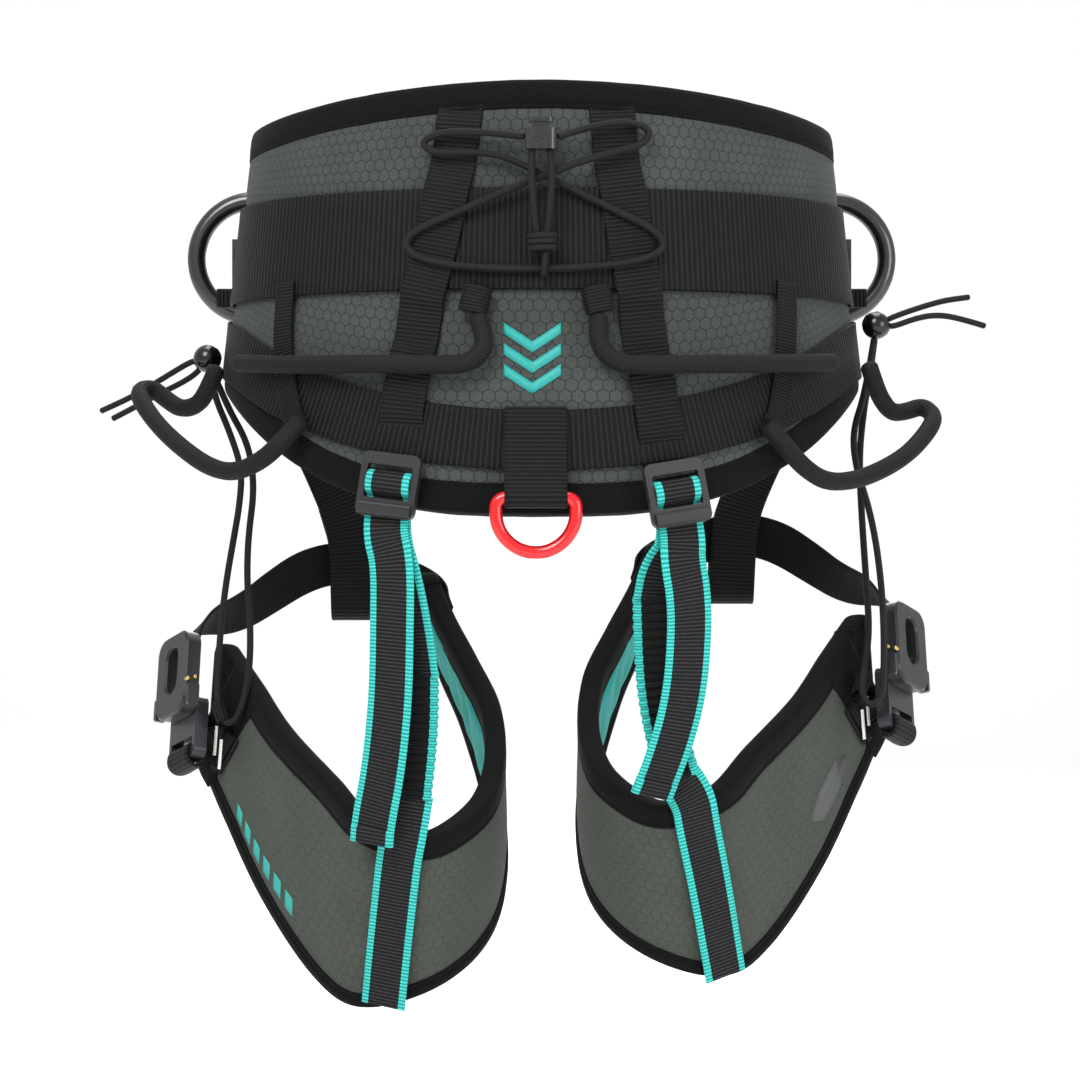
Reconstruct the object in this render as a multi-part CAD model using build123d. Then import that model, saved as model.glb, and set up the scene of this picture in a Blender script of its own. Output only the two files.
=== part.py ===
from build123d import *
import math
import os

# Climbing harness, seen standing open as it is worn.
# Millimetres. +Z is up, -Y is the wearer's back, +X is the wearer's right.
# The origin is the middle of the waist opening, level with the middle of the main waist webbing.

# ---------------------------------------------------------------- driving dimensions
# Waist pad: an oval shell that flares downwards.
waist_side = 171.0        # half width of the outer face at the origin's height
waist_back = 123.0        # half depth of the outer face at the origin's height
flare = 0.11              # growth of both half axes for each mm downwards
pad_end = 118.0           # degrees from the middle of the back to each front end
pad_top_back = 84.5       # top edge at the middle of the back
pad_top_side = 68.5       # top edge at the hips
pad_low_back = 145.0      # lower edge below the origin, middle of the back
pad_low_side = 73.0       # lower edge below the origin, at the hips
pad_front_taper = 20.0    # how much each edge closes in towards the front ends
pad_steps = 40            # flats round the pad

shell_thick = 2.0         # woven outer shell
foam_thick = 10.0
lining_thick = 2.0
binding_thick = 1.6
binding_width = 15.0      # how far the waist binding reaches in from the edge

# Webbing
web_thick = 1.8
lay = 0.3                 # clearance between one sewn layer and the next
waist_web_width = 55.0
waist_web_end = 119.3     # degrees
hip_web_width = 32.0
back_strap_width = 25.0
riser_width = 25.0
leg_strap_width = 25.0
hanger_width = 27.0
belt_width = 44.0
strap_fit = 0.4           # clearance of a strap in a slot

# Rings
side_rod = 5.5            # rod radius of the side rings
side_half = 34.5          # half height of their bar, on the centre line
side_shank = 27.0         # straight part before the bow
side_height = 7.0         # height of the middle of the bar
rear_rod = 3.5
rear_half = 21.0
rear_shank = 7.5
rear_width = 33.0         # width of the rear ring's tab
front_rod = 4.5
front_half = 18.0
front_shank = 9.0
ring_gap = 0.3            # running clearance of a ring's bar in its webbing loop

# Cords and gear loops
lace = 4.0                # diameter of the lacing cord
leg_cord = 4.0            # diameter of the elastic leg cords
tail_cord = 3.5           # diameter of the loose cord tails
gear_tube = 10.0          # diameter of a sheathed gear loop

# Leg loops
leg_shell_thick = 2.0
leg_liner_thick = 7.0
leg_binding_width = 10.0
leg_binding_thick = 1.4
leg_steps = 3             # flats between two stations of a leg pad
right_lift = 17.0         # the right leg loop hangs this much higher than the left

parts = {}


# ---------------------------------------------------------------- shaping helpers
def on_pad(turn, z, out=0.0):
    """A point over the waist pad, turn degrees round from the middle of the back."""
    side = waist_side - flare * z + out
    back = waist_back - flare * z + out
    angle = math.radians(turn)
    return Vector(side * math.sin(angle), -back * math.cos(angle), z)


def turn_at(x, z):
    """How many degrees round the pad the place x mm from the middle of the back is."""
    return math.degrees(math.asin(x / (waist_side - flare * z)))


def over_pad(x, z, out=0.0):
    """A point over the back of the waist pad, x mm from its middle."""
    return on_pad(turn_at(x, z), z, out)


def pad_outward(turn, z):
    """The direction that faces away from the pad."""
    side = waist_side - flare * z
    back = waist_back - flare * z
    x = math.sin(math.radians(turn))
    y = -math.cos(math.radians(turn))
    tilt = flare * (x * x / side + y * y / back)
    return Vector(x / side, y / back, tilt).normalized()


def pad_top(turn):
    """Height of the pad's top edge."""
    sway = math.sin(math.radians(min(abs(turn), 90))) ** 2
    front = max(0.0, (abs(turn) - 90) / (pad_end - 90))
    return pad_top_back - (pad_top_back - pad_top_side) * sway - pad_front_taper * front ** 2


def pad_low(turn):
    """Height of the pad's lower edge."""
    sway = math.sin(math.radians(min(abs(turn), 90))) ** 3
    front = max(0.0, (abs(turn) - 90) / (pad_end - 90))
    return -pad_low_back + (pad_low_back - pad_low_side) * sway + pad_front_taper * front ** 2


def between(low, high, count):
    """count + 1 even values from low to high."""
    return [low + (high - low) * i / count for i in range(count + 1)]


def loft_through(sections):
    """A solid with flats between closed sections of equal corner counts."""
    wires = [Wire.make_polygon(corners, close=True) for corners in sections]
    return Solid.make_loft(wires, ruled=True)


def strap(points, across, width, thick=web_thick):
    """Webbing: a flat band whose middle line runs through points, with mitred bends.

    across is the direction of its width, either one for the whole strap or one for each point.
    """
    sides = across if isinstance(across, list) else [across] * len(points)
    sections = []
    for i, point in enumerate(points):
        before = (point - points[max(i - 1, 0)]) if i else (points[1] - point)
        after = (points[i + 1] - point) if i + 1 < len(points) else before
        before = before.normalized()
        after = after.normalized()
        along = (before + after).normalized()
        stretch = 1 / max(0.3, along.dot(after))
        side = sides[i] - along * sides[i].dot(along)
        side = side.normalized()
        face = side.cross(along) * (thick / 2 * stretch)
        half = side * (width / 2)
        low = point - half
        high = point + half
        sections.append([low - face, high - face, high + face, low + face])
    return loft_through(sections)


def pad_strap(places, width, out, thick=web_thick):
    """Webbing sewn to the waist pad through (turn, z) places, with its inner face out mm off the pad."""
    points = [on_pad(turn, z, out + thick / 2) for turn, z in places]
    sides = []
    for i, (turn, z) in enumerate(places):
        run = points[min(i + 1, len(points) - 1)] - points[max(i - 1, 0)]
        sides.append(pad_outward(turn, z).cross(run))
    return strap(points, sides, width, thick)


def smooth_places(places, count):
    """Even places on a smooth line through (turn, z) places whose turns rise."""
    line = Spline(*[Vector(turn, z, 0) for turn, z in places])
    found = [line @ (i / count) for i in range(count + 1)]
    return [(p.X, p.Y) for p in found]


def fillet_radii(points):
    """Each corner takes 0.45 of its shorter run, divided by the tangent of half its turn."""
    radii = []
    for a, b, c in zip(points, points[1:], points[2:]):
        half_turn = math.radians((b - a).get_angle(c - b)) / 2
        radii.append(0.45 * min((b - a).length, (c - b).length) / math.tan(half_turn))
    return radii


def tube(name, points, diameter):
    """A cord or sheathed loop: straight runs joined by the largest tangent arcs that fit."""
    radii = fillet_radii(points)
    line = FilletPolyline(*points, radius=radii)
    start = Plane(origin=points[0], z_dir=points[1] - points[0])
    solid = sweep(start * Circle(diameter / 2), path=line)
    expected = math.pi * diameter ** 2 / 4 * line.length
    print(
        f"{name}: {line.length:.0f} mm long, radii {min(radii):.0f} to {max(radii):.0f} mm, "
        f"volume {solid.volume / expected:.3f} of section times length"
    )
    return solid


def flip(point, side):
    """A point of the left half, or its mirror image when side is +1."""
    x, y, z = point
    return Vector(-side * x, y, z)


def d_ring(half, shank, rod, corner):
    """A D shaped ring: its bar lies on Z, centred on the origin, and its bow reaches out along +X."""
    k = corner * (1 - math.sqrt(0.5))
    edges = [
        Line((0, 0, -half + corner), (0, 0, half - corner)),
        ThreePointArc((0, 0, half - corner), (k, 0, half - k), (corner, 0, half)),
        Line((corner, 0, half), (shank, 0, half)),
        ThreePointArc((shank, 0, half), (shank + half, 0, 0), (shank, 0, -half)),
        Line((shank, 0, -half), (corner, 0, -half)),
        ThreePointArc((corner, 0, -half), (k, 0, -half + k), (0, 0, -half + corner)),
    ]
    return sweep(Plane(origin=(0, 0, -half + corner)) * Circle(rod), path=Wire(edges))


# ---------------------------------------------------------------- waist pad
pad_turns = between(-pad_end, pad_end, pad_steps)


def pad_layer(outer, inner):
    """One layer of the waist pad between two offsets from its outer face."""
    corners = ((pad_top, outer), (pad_low, outer), (pad_low, inner), (pad_top, inner))
    return loft_through([
        [on_pad(t, edge(t), out) for edge, out in corners] for t in pad_turns
    ])


pad_thick = shell_thick + foam_thick + lining_thick
parts["waist_pad_shell"] = pad_layer(0, -shell_thick)
parts["waist_pad_foam"] = pad_layer(-shell_thick, -shell_thick - foam_thick)
parts["waist_pad_lining"] = pad_layer(-shell_thick - foam_thick, -pad_thick)


def channel(width, thick, depth):
    """The C section of a binding, as (out, beyond the edge) corners round a pad depth thick."""
    return [
        (0, 0), (0, -width), (thick, -width), (thick, thick),
        (-depth - thick, thick), (-depth - thick, -width), (-depth, -width), (-depth, 0),
    ]


waist_channel = channel(binding_width, binding_thick, pad_thick)
end_turn = pad_end + math.degrees(binding_thick / waist_back)
binding_turns = [-end_turn] + pad_turns + [end_turn]
top_binding = loft_through([
    [on_pad(t, pad_top(t) + edge, out) for out, edge in waist_channel] for t in binding_turns
])
low_binding = loft_through([
    [on_pad(t, pad_low(t) - edge, out) for out, edge in waist_channel] for t in binding_turns
])


def end_binding(side):
    """The binding down one front end, between the two edge runs, reaching back over one flat of the pad."""
    def corner(out, edge, z):
        reach = pad_end - 2 * pad_end / pad_steps if edge < 0 else end_turn if edge > 0 else pad_end
        return on_pad(side * reach, z, out)

    heights = [pad_low(pad_end) + binding_width + lay, pad_top(pad_end) - binding_width - lay]
    return loft_through([[corner(out, edge, z) for out, edge in waist_channel] for z in heights])


parts["waist_binding"] = Compound([top_binding, low_binding, end_binding(-1), end_binding(1)])

# ---------------------------------------------------------------- waist webbing
first_layer = binding_thick + lay         # webbing lies clear of the binding that it crosses
second_layer = first_layer + web_thick + lay
third_layer = second_layer + web_thick + lay

web_turns = [t for t in pad_turns if abs(t) < waist_web_end]
web_turns = [-waist_web_end] + web_turns + [waist_web_end]
parts["waist_webbing"] = pad_strap([(t, 0.0) for t in web_turns], waist_web_width, first_layer)

hip_line = [
    (0, -107.4), (17.2, -104), (34.7, -92.6), (49.5, -78.5), (59.5, -68), (71.8, -57.5),
    (90, -51), (108, -51.5), (130.2, -52),
]
hip_half = smooth_places(hip_line, 20)
hip_places = [(-t, z) for t, z in reversed(hip_half[1:])] + hip_half
parts["hip_webbing"] = pad_strap(hip_places, hip_web_width, first_layer)

# Each back strap crosses both webbings and ends behind its ladder lock.
strap_line_left = [
    (-42.2, 80), (-46.4, 42.7), (-54.3, 0), (-62.2, -32.3), (-66.5, -59), (-71.5, -86), (-75.5, -118),
]
strap_line_right = [
    (36.3, 80), (39.4, 42.5), (45.7, 0), (51, -32.6), (54.6, -59.3), (58.8, -86), (64.5, -120),
]
for name, line in (("left", strap_line_left), ("right", strap_line_right)):
    places = [(turn_at(x, z), z) for x, z in line]
    parts["back_strap_" + name] = pad_strap(places, back_strap_width, second_layer)

# ---------------------------------------------------------------- ladder locks
lock_width = riser_width + 8.0
lock_height = 34.0
lock_thick = 4.0
lock_slot = 6.5
lock_bar = 5.0
lock_raise = 1.5           # the slots sit this much above the frame's middle
lip_height = 7.0
lip_thick = 3.4
lock_out = third_layer + web_thick + 0.4


def lock_plane(x, z, lean):
    """The face of a ladder lock against the pad, leaning with its strap."""
    turn = turn_at(x, z)
    out = pad_outward(turn, z)
    level = Vector(-out.Y, out.X, 0).normalized()
    up = out.cross(level)
    tilt = math.radians(lean)
    across = level * math.cos(tilt) + up * math.sin(tilt)
    return Plane(origin=on_pad(turn, z, lock_out), x_dir=across, z_dir=out)


def ladder_lock(plane):
    """A three bar ladder lock, with a rolled lip along its lower bar."""
    frame = RectangleRounded(lock_width, lock_height, 4)
    slot = RectangleRounded(riser_width + 2 * strap_fit, lock_slot, 1.2)
    slot_reach = (lock_bar + lock_slot) / 2
    frame -= Pos(0, lock_raise + slot_reach) * slot
    frame -= Pos(0, lock_raise - slot_reach) * slot
    body = extrude(plane * frame, lock_thick)
    lip = Box(lock_width - 3, lip_height, lip_thick)
    lip = Pos(0, 0.6 * lip_height - lock_height / 2, lock_thick) * lip
    lip = fillet(lip.edges().filter_by(Axis.X).group_by(Axis.Z)[-1], 0.47 * lip_thick)
    return body + plane * lip


lock_left = lock_plane(-76.5, -131.5, -7)
lock_right = lock_plane(67.5, -135.5, 9)
parts["ladder_lock_left"] = ladder_lock(lock_left)
parts["ladder_lock_right"] = ladder_lock(lock_right)

# ---------------------------------------------------------------- rear ring and its tab
rear_x = -3.0
rear_z = 7.0 - pad_low_back
rear_out = second_layer + rear_rod + 0.8
rear_bar = over_pad(rear_x, rear_z, rear_out)
rear_loop = rear_rod + ring_gap + web_thick
tab_height = 49.0          # of the tab above the ring's bar
tab_foot = 4.0             # the tab's back leaves the pad this far above the bar
tab_tip = 0.2
tab_top = rear_z + tab_height
tab_low = Vector(-(waist_back - flare * (rear_z + tab_foot)) - second_layer, rear_z + tab_foot)
tab_high = Vector(-(waist_back - flare * tab_top) - second_layer, tab_top)
tab_front = rear_bar.Y - rear_loop
tab_profile = make_face(Polyline(
    (tab_low.X, tab_low.Y), (tab_high.X, tab_top), (tab_high.X - web_thick - tab_tip, tab_top),
    (tab_front, rear_z + tab_foot / 2), (tab_front, rear_z), (tab_low.X, rear_z), (tab_low.X, tab_low.Y),
))
tab_section = tab_profile + Pos(rear_bar.Y, rear_z) * Circle(rear_loop)
tab_section -= Pos(rear_bar.Y, rear_z) * Circle(rear_rod + ring_gap)
tab_plane = Plane(origin=(rear_x - rear_width / 2, 0, 0), x_dir=(0, 1, 0), z_dir=(1, 0, 0))
parts["rear_ring_tab"] = extrude(tab_plane * tab_section, rear_width)
rear_shape = d_ring(rear_half, rear_shank, rear_rod, 5)
parts["rear_ring"] = Pos(rear_bar) * Rot(0, 90, 0) * rear_shape

# ---------------------------------------------------------------- side rings and front rings
side_reach = 1.4 * (side_rod + ring_gap + web_thick) + 0.716   # from the waist webbing's end to the bar
side_out = first_layer + web_thick / 2
front_out = side_out
web_end_at = on_pad(waist_web_end, side_height, side_out)
mm_a_degree = (on_pad(waist_web_end + 1, side_height, side_out) - web_end_at).length
side_turn = waist_web_end + side_reach / mm_a_degree
front_turn = 134.0
front_height = -52.0
front_ahead = 50.0         # degrees that the front rings turn out from straight ahead
side_loop_gap = 12.0       # from each end of a side ring's bar to its webbing loop
front_loop_gap = 6.0


def bar_at(turn, z, side, out):
    """Where an upright ring bar stands."""
    return flip(on_pad(-turn, z, out), side)


sewn_reach = 8.0           # degrees from the front ring's bar back to where its loop is sewn


def bar_loop(centre, rod, height, inward):
    """A fold of webbing round an upright bar, sewn flat towards inward."""
    radius = rod + ring_gap + web_thick
    ring = Circle(radius) + Pos(radius * 0.7, 0) * Rectangle(radius * 1.4, 2 * web_thick)
    ring -= Circle(rod + ring_gap)
    angle = math.degrees(math.atan2(inward.Y, inward.X))
    plane = Plane(origin=centre - Vector(0, 0, height / 2), z_dir=(0, 0, 1)).rotated((0, 0, angle))
    return extrude(plane * ring, height)


loops = []
for name, side in (("left", -1), ("right", 1)):
    bar = bar_at(side_turn, side_height, side, side_out)
    shape = Rot(0, 0, 0 if side > 0 else 180) * d_ring(side_half, side_shank, side_rod, 9)
    parts["side_ring_" + name] = Pos(bar) * shape
    front = bar_at(front_turn, front_height, side, front_out)
    shape = Rot(0, 0, 90 + side * front_ahead) * d_ring(front_half, front_shank, front_rod, 5)
    parts["front_ring_" + name] = Pos(front) * shape
    back_of_side = flip(on_pad(-waist_web_end, side_height, side_out), side) - bar
    loops.append(bar_loop(bar, side_rod, 2 * (side_half - side_loop_gap), back_of_side))
    back_of_front = flip(on_pad(-front_turn + sewn_reach, front_height, front_out), side) - front
    loops.append(bar_loop(front, front_rod, 2 * (front_half - front_loop_gap), back_of_front))

# ---------------------------------------------------------------- lacing between the back straps
cord_out = third_layer + lay + lace / 2    # a cord lying on the back straps
toggle_x, toggle_z, toggle_out = -0.5, 51.5, 15.0
toggle_size = (17.0, 11.0, 10.0)           # across, up, out
toggle_reach = toggle_size[0] / 2 + lay
strand_x = 4.4
lacing_route = [
    (toggle_x - toggle_reach, 53, 15), (-20, 55, 12.2), (-36, 56.5, cord_out + 0.8), (-52, 57, cord_out),
    (-62, 51.5, cord_out), (-54, 45.5, cord_out), (-39, 46, cord_out), (-22, 44.5, cord_out + 0.4),
    (-8, 38, cord_out), (9, 29, cord_out), (25, 20.5, cord_out), (42, 12, cord_out),
    (56, 5, cord_out), (63, -3.5, cord_out), (55, -10.5, cord_out), (38, -14.5, cord_out),
    (16, -16.5, cord_out), (-8, -17, cord_out), (-30, -16.5, cord_out), (-50, -14, cord_out),
    (-66, -9, cord_out), (-70, 0, cord_out), (-58, 7.5, cord_out), (-42, 14, cord_out + 0.4),
    (-26, 21, cord_out + 2), (-11, 27.5, 12.2), (2, 32.5, 13.2), (14, 38, 12),
    (27, 43, cord_out + 1), (40, 47, cord_out), (51, 50, cord_out), (56, 58, cord_out),
    (45, 62.5, cord_out), (29, 60.5, cord_out + 0.8), (17, 56.5, 12), (toggle_x + toggle_reach, 53, 15),
]
lacing = tube("lacing_cord", [over_pad(x, z, out) for x, z, out in lacing_route], lace)
knot_z = -5.5
knot_size = (14.0, 9.0)
knot_out = 12.0
knot_deep = 9.0
strand_foot = knot_z + knot_size[1] / 2 + lay
strand_head = toggle_z - toggle_size[1] / 2 - 4 * lay   # clear of the barrel, which leans with the pad
strands = []
for x in (-strand_x, strand_x):
    head = (x + toggle_x, strand_head, toggle_out)
    foot = (x * 0.75, strand_foot, knot_out)
    route = [head, (x * 1.15, 34, 18.2), (x * 0.9, 16, 15.5), foot]
    strands.append(tube("lacing_strand", [over_pad(*place) for place in route], lace))
knot_plane = Plane(origin=over_pad(0, knot_z, knot_out), x_dir=(1, 0, 0), z_dir=(0, -1, 0))
knot = extrude(knot_plane * RectangleRounded(*knot_size, 3.5), knot_deep / 2, both=True)
parts["lacing_cord"] = Compound([lacing] + strands + [knot])

# The cord lock: a moulded barrel with a sprung button in its top.
button_travel = 3.0
button_cap = (13.0, 7.5, 2.4)
button_stem = (9.0, 5.0, 6.5)
barrel_plane = Plane(origin=over_pad(toggle_x, toggle_z, toggle_out), x_dir=(1, 0, 0), z_dir=(0, 0, 1))
barrel = Box(toggle_size[0], toggle_size[2], toggle_size[1])
barrel = fillet(barrel.edges().filter_by(Axis.Z), 4)
pocket_deep = button_stem[2] + button_travel + 0.5
pocket = Box(button_stem[0] + 0.6, button_stem[1] + 0.6, pocket_deep + 1)
barrel -= Pos(0, 0, toggle_size[1] / 2 - pocket_deep / 2 + 0.5) * pocket
parts["lacing_toggle"] = barrel_plane * barrel
cap = fillet(Box(*button_cap).edges().filter_by(Axis.Z), 2.5)
button_base = toggle_size[1] / 2 + button_travel + 0.4   # underside of the cap
stem_long = button_stem[2] + button_travel
stem = Pos(0, 0, button_base - stem_long / 2 + 0.2) * Box(button_stem[0], button_stem[1], stem_long)
button = Pos(0, 0, button_base + button_cap[2] / 2) * cap + stem
parts["lacing_button"] = barrel_plane * button

# ---------------------------------------------------------------- gear loops
gear_r = gear_tube / 2
over_straps = third_layer + gear_r
rear_left_route = [
    (-32, -43, 8.5), (-29, -51, 9), (-29, -61, over_straps - 0.5), (-37, -67.5, over_straps),
    (-50, -68, over_straps + 1), (-78, -66.8, over_straps + 1.9), (-106, -66.5, over_straps + 1.9),
    (-130, -65.5, over_straps + 0.9), (-146, -64, over_straps + 0.5), (-157, -63, over_straps),
]
rear_right_route = [
    (28.5, -43, 8.5), (27.5, -51, 9), (30, -61, over_straps - 0.5), (39, -67.5, over_straps),
    (52, -68, over_straps + 1), (80, -66.8, over_straps + 1.9), (104, -66.2, over_straps + 1.9),
    (124, -65, over_straps + 0.9), (138, -64, over_straps + 0.5), (149, -63, over_straps),
]
# The side loops stand off the pad: degrees round it, height and distance out.
side_left_route = [
    (-42.7, -97, 9.9), (-44.1, -107.5, 16.9), (-47.7, -118, 20.1), (-54.3, -124, 21), (-60.6, -120, 24.7),
    (-66.7, -110, 31.5), (-72.8, -98.5, 39), (-78.1, -86, 46.4), (-82.8, -76, 50.5), (-85.6, -73.5, 42.5),
    (-84.4, -81, 33), (-82.3, -86.5, 24.3), (-79.5, -84, 16), (-77.5, -75, 12.3), (-76.3, -65, 9.7),
]
side_right_route = [
    (39.5, -100, 9.8), (40.9, -110.5, 15.6), (44.8, -122, 15.7), (50.3, -129, 14.8), (58.4, -127.5, 15.7),
    (65.3, -121.5, 21.5), (71.3, -113, 29.8), (76.6, -101.5, 37.9), (81.2, -91, 43.2), (84, -84, 36.4),
    (83, -87.5, 26.9), (80.9, -88.5, 18.8), (78.6, -81, 14.4), (77.1, -72, 12.4), (76.4, -63, 10.8),
]
gear_routes = {
    "gear_loop_rear_left": [over_pad(*p) for p in rear_left_route],
    "gear_loop_rear_right": [over_pad(*p) for p in rear_right_route],
    "gear_loop_side_left": [on_pad(*p) for p in side_left_route],
    "gear_loop_side_right": [on_pad(*p) for p in side_right_route],
}
for name, route in gear_routes.items():
    parts[name] = tube(name, route, gear_tube)

keeper_size = (16.0, 13.0, 9.0)            # across, up, out
drop_width = 14.0


def keeper(x, z, lean):
    """A short sewn webbing sleeve that holds the end of a rear gear loop."""
    turn = turn_at(x, z)
    level = (math.cos(math.radians(turn)), math.sin(math.radians(turn)), 0)
    plane = Plane(origin=on_pad(turn, z, second_layer + 0.2), x_dir=level, z_dir=pad_outward(turn, z))
    outline = RectangleRounded(keeper_size[0], keeper_size[1], 2)
    return extrude(plane * Rot(0, 0, lean) * outline, keeper_size[2])


tabs = [keeper(-33.5, -33.0, -12), keeper(28.0, -33.0, 12)]
for x_high, x_low in ((-135.8, -131.5), (129.5, 124)):
    line = [(x_high, -20.0), (x_high - 1, -56.0), (x_low, -91.0)]
    tabs.append(pad_strap([(turn_at(x, z), z) for x, z in line], drop_width, second_layer))
parts["webbing_loops"] = Compound(loops + tabs)

# ---------------------------------------------------------------- wing tabs behind the side rings
tabs = []
wing_y = 40.0
wing_thick = 2.4
wing_root = 2.9            # how far out of the pad's side its inner edge starts
# Upper and lower edge, reach of each beyond the pad's side, and place behind the first tab.
wing_shapes = [(16, -12, 4, 18, 0), (-12.5, -24, 13, 22, 2)]
for side in (-1, 1):
    for high, low, reach_high, reach_low, behind in wing_shapes:
        root = on_pad(90, low).X - wing_root
        tips = [(waist_side + reach_low, low), (waist_side + reach_high, high)]
        corners = [(root, high), (root, low)] + tips
        points = [Vector(side * x, wing_y + behind, z) for x, z in corners]
        tabs.append(Solid.extrude(Face(Wire.make_polygon(points, close=True)), Vector(0, wing_thick, 0)))
parts["wing_tabs"] = Compound(tabs)

# ---------------------------------------------------------------- front belt and buckle
belt_out = -pad_thick - binding_thick - lay - web_thick
buckle_turn = 9.0
belt_left_turns = between(-108, -180 + buckle_turn, 12)
belt_right_turns = between(108, 180 - buckle_turn, 12)
parts["front_belt_left"] = pad_strap([(t, 0.0) for t in reversed(belt_left_turns)], belt_width, belt_out)
parts["front_belt_right"] = pad_strap([(t, 0.0) for t in belt_right_turns], belt_width, belt_out)
buckle_y = on_pad(180, 0, belt_out).Y + 5      # inner face of the buckle's frame
front_frame_thick = 5.0
front_tongue_thick = 4.0
belt_slot = belt_width + 2 * strap_fit
frame_sketch = Pos(9, 0) * RectangleRounded(44, belt_width + 12, 6)
frame_sketch -= Pos(-2, 0) * Rectangle(7, belt_slot)
frame_sketch -= Pos(20, 0) * Rectangle(6, belt_slot)
frame_plane = Plane(origin=(0, buckle_y, 0), x_dir=(-1, 0, 0), z_dir=(0, 1, 0))
parts["front_buckle_frame"] = extrude(frame_plane * frame_sketch, front_frame_thick)
tongue_sketch = Pos(-9, 0) * RectangleRounded(40, belt_width + 8, 5)
tongue_sketch -= Pos(-20, 0) * Rectangle(6, belt_slot)
tongue_plane = frame_plane.offset(front_frame_thick + strap_fit)
parts["front_buckle_tongue"] = extrude(tongue_plane * tongue_sketch, front_tongue_thick)

# ---------------------------------------------------------------- leg loops
# Upper and lower edge of a leg pad's outer face, from its outer front end round the back to its inner end.
leg_upper = [
    (-187, 17, -217), (-168, -10, -240), (-149, -36, -265), (-121, -66, -291),
    (-97, -90, -313), (-62, -100, -321), (-32, -84, -305), (-22, -58, -283),
    (-24, -25, -255), (-38, 5, -228), (-52, 32, -204), (-64, 57, -178),
]
leg_lower = [
    (-192, 12, -295), (-180, -5, -318), (-157, -25, -361), (-127, -50, -400),
    (-101, -68, -415), (-65, -75, -407), (-36, -62, -388), (-22, -42, -360),
    (-22, -15, -318), (-36, 15, -270), (-50, 42, -240), (-64, 62, -206),
]
leg_middle = Vector(-105, -15, -290)
leg_last = len(leg_upper) - 1


def curve_at(points, u):
    """A smooth curve through points, at u counted in points."""
    i = min(max(int(u), 0), len(points) - 2)
    t = u - i
    p1 = Vector(*points[i])
    p2 = Vector(*points[i + 1])
    p0 = Vector(*points[i - 1]) if i else p1 * 2 - p2
    p3 = Vector(*points[i + 2]) if i + 2 < len(points) else p2 * 2 - p1
    square = p0 * 2 - p1 * 5 + p2 * 4 - p3
    cube = p1 * 3 - p0 - p2 * 3 + p3
    return (p1 * 2 + (p2 - p0) * t + square * t ** 2 + cube * t ** 3) * 0.5


def leg_outward(u):
    """The direction that faces away from the thigh."""
    low = max(u - 0.1, 0)
    high = min(u + 0.1, leg_last)
    along = curve_at(leg_upper, high) - curve_at(leg_upper, low)
    along += curve_at(leg_lower, high) - curve_at(leg_lower, low)
    down = curve_at(leg_lower, u) - curve_at(leg_upper, u)
    out = along.cross(down).normalized()
    centre = (curve_at(leg_upper, u) + curve_at(leg_lower, u)) * 0.5
    away = Vector(centre.X - leg_middle.X, centre.Y - leg_middle.Y, 0)
    return out if out.dot(away) > 0 else out * -1


def leg_point(u, drop, out=0.0):
    """A point over a left leg pad: u along it, drop from 0 at its upper edge to 1 at its lower edge."""
    return curve_at(leg_upper, u) * (1 - drop) + curve_at(leg_lower, u) * drop + leg_outward(u) * out


def leg_down(u):
    """Unit direction from the upper to the lower edge."""
    return (curve_at(leg_lower, u) - curve_at(leg_upper, u)).normalized()


leg_places = between(0, leg_last, leg_last * leg_steps)
leg_channel = channel(leg_binding_width, leg_binding_thick, leg_shell_thick + leg_liner_thick)


def leg_layer(outer, inner):
    """One layer of a left leg pad."""
    return loft_through([
        [leg_point(u, drop, out) for drop, out in ((0, outer), (1, outer), (1, inner), (0, inner))]
        for u in leg_places
    ])


def leg_edge(drop):
    """The binding along one edge of a left leg pad."""
    sign = 1 if drop else -1
    return loft_through([
        [leg_point(u, drop, out) + leg_down(u) * (sign * edge) for out, edge in leg_channel]
        for u in leg_places
    ])


def leg_end(u, sign):
    """The binding across one end of a left leg pad, between its two edge runs."""
    back = u - sign / leg_steps
    along = (curve_at(leg_upper, u) - curve_at(leg_upper, back)).normalized()
    along = (along - leg_down(u) * along.dot(leg_down(u))).normalized()
    sections = []
    for drop in (0, 1):
        level = leg_point(u, drop) + leg_down(u) * ((leg_binding_width + 2 * lay) * (1 - 2 * drop))
        section = []
        for out, edge in leg_channel:
            place = back if edge < 0 else u
            foot = leg_point(place, 0, out)
            run = (level - foot).dot(leg_down(u)) / leg_down(place).dot(leg_down(u))
            point = foot + leg_down(place) * run
            section.append(point + along * leg_binding_thick if edge > 0 else point)
        sections.append(section)
    return loft_through(sections)


leg_thick = leg_shell_thick + leg_liner_thick
left_leg = {
    "leg_pad_shell": leg_layer(0, -leg_shell_thick),
    "leg_pad_liner": leg_layer(-leg_shell_thick, -leg_thick),
    "leg_binding": Compound([leg_edge(0), leg_edge(1), leg_end(0, -1), leg_end(leg_last, 1)]),
}

# The buckle, in its own frame: X across, Y up the strap, Z outwards. An upper plate with a finger hole
# is hooked over a lower frame, and two sprung side gates hold them together.
buckle_up = Vector(0.02, 0.35, 0.937)
buckle_outward = Vector(-0.84, -0.5, 0.2)
buckle_at = Plane(origin=(-205, 4, -251), x_dir=buckle_up.cross(buckle_outward), z_dir=buckle_outward)
plate_size = (leg_strap_width + 13.0, 49.0, 9.0)
plate_middle = 12.5
frame_size = (leg_strap_width + 7.0, 36.0, 8.0)
frame_middle = -19.0
frame_slot = 6.0
gate_size = (2.6, 13.0, 7.0)
gate_y = -3.0
gate_gap = 0.4


def buckle_point(x, y, z):
    """A place in the buckle's own frame."""
    return buckle_at.from_local_coords(Vector(x, y, z))


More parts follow.
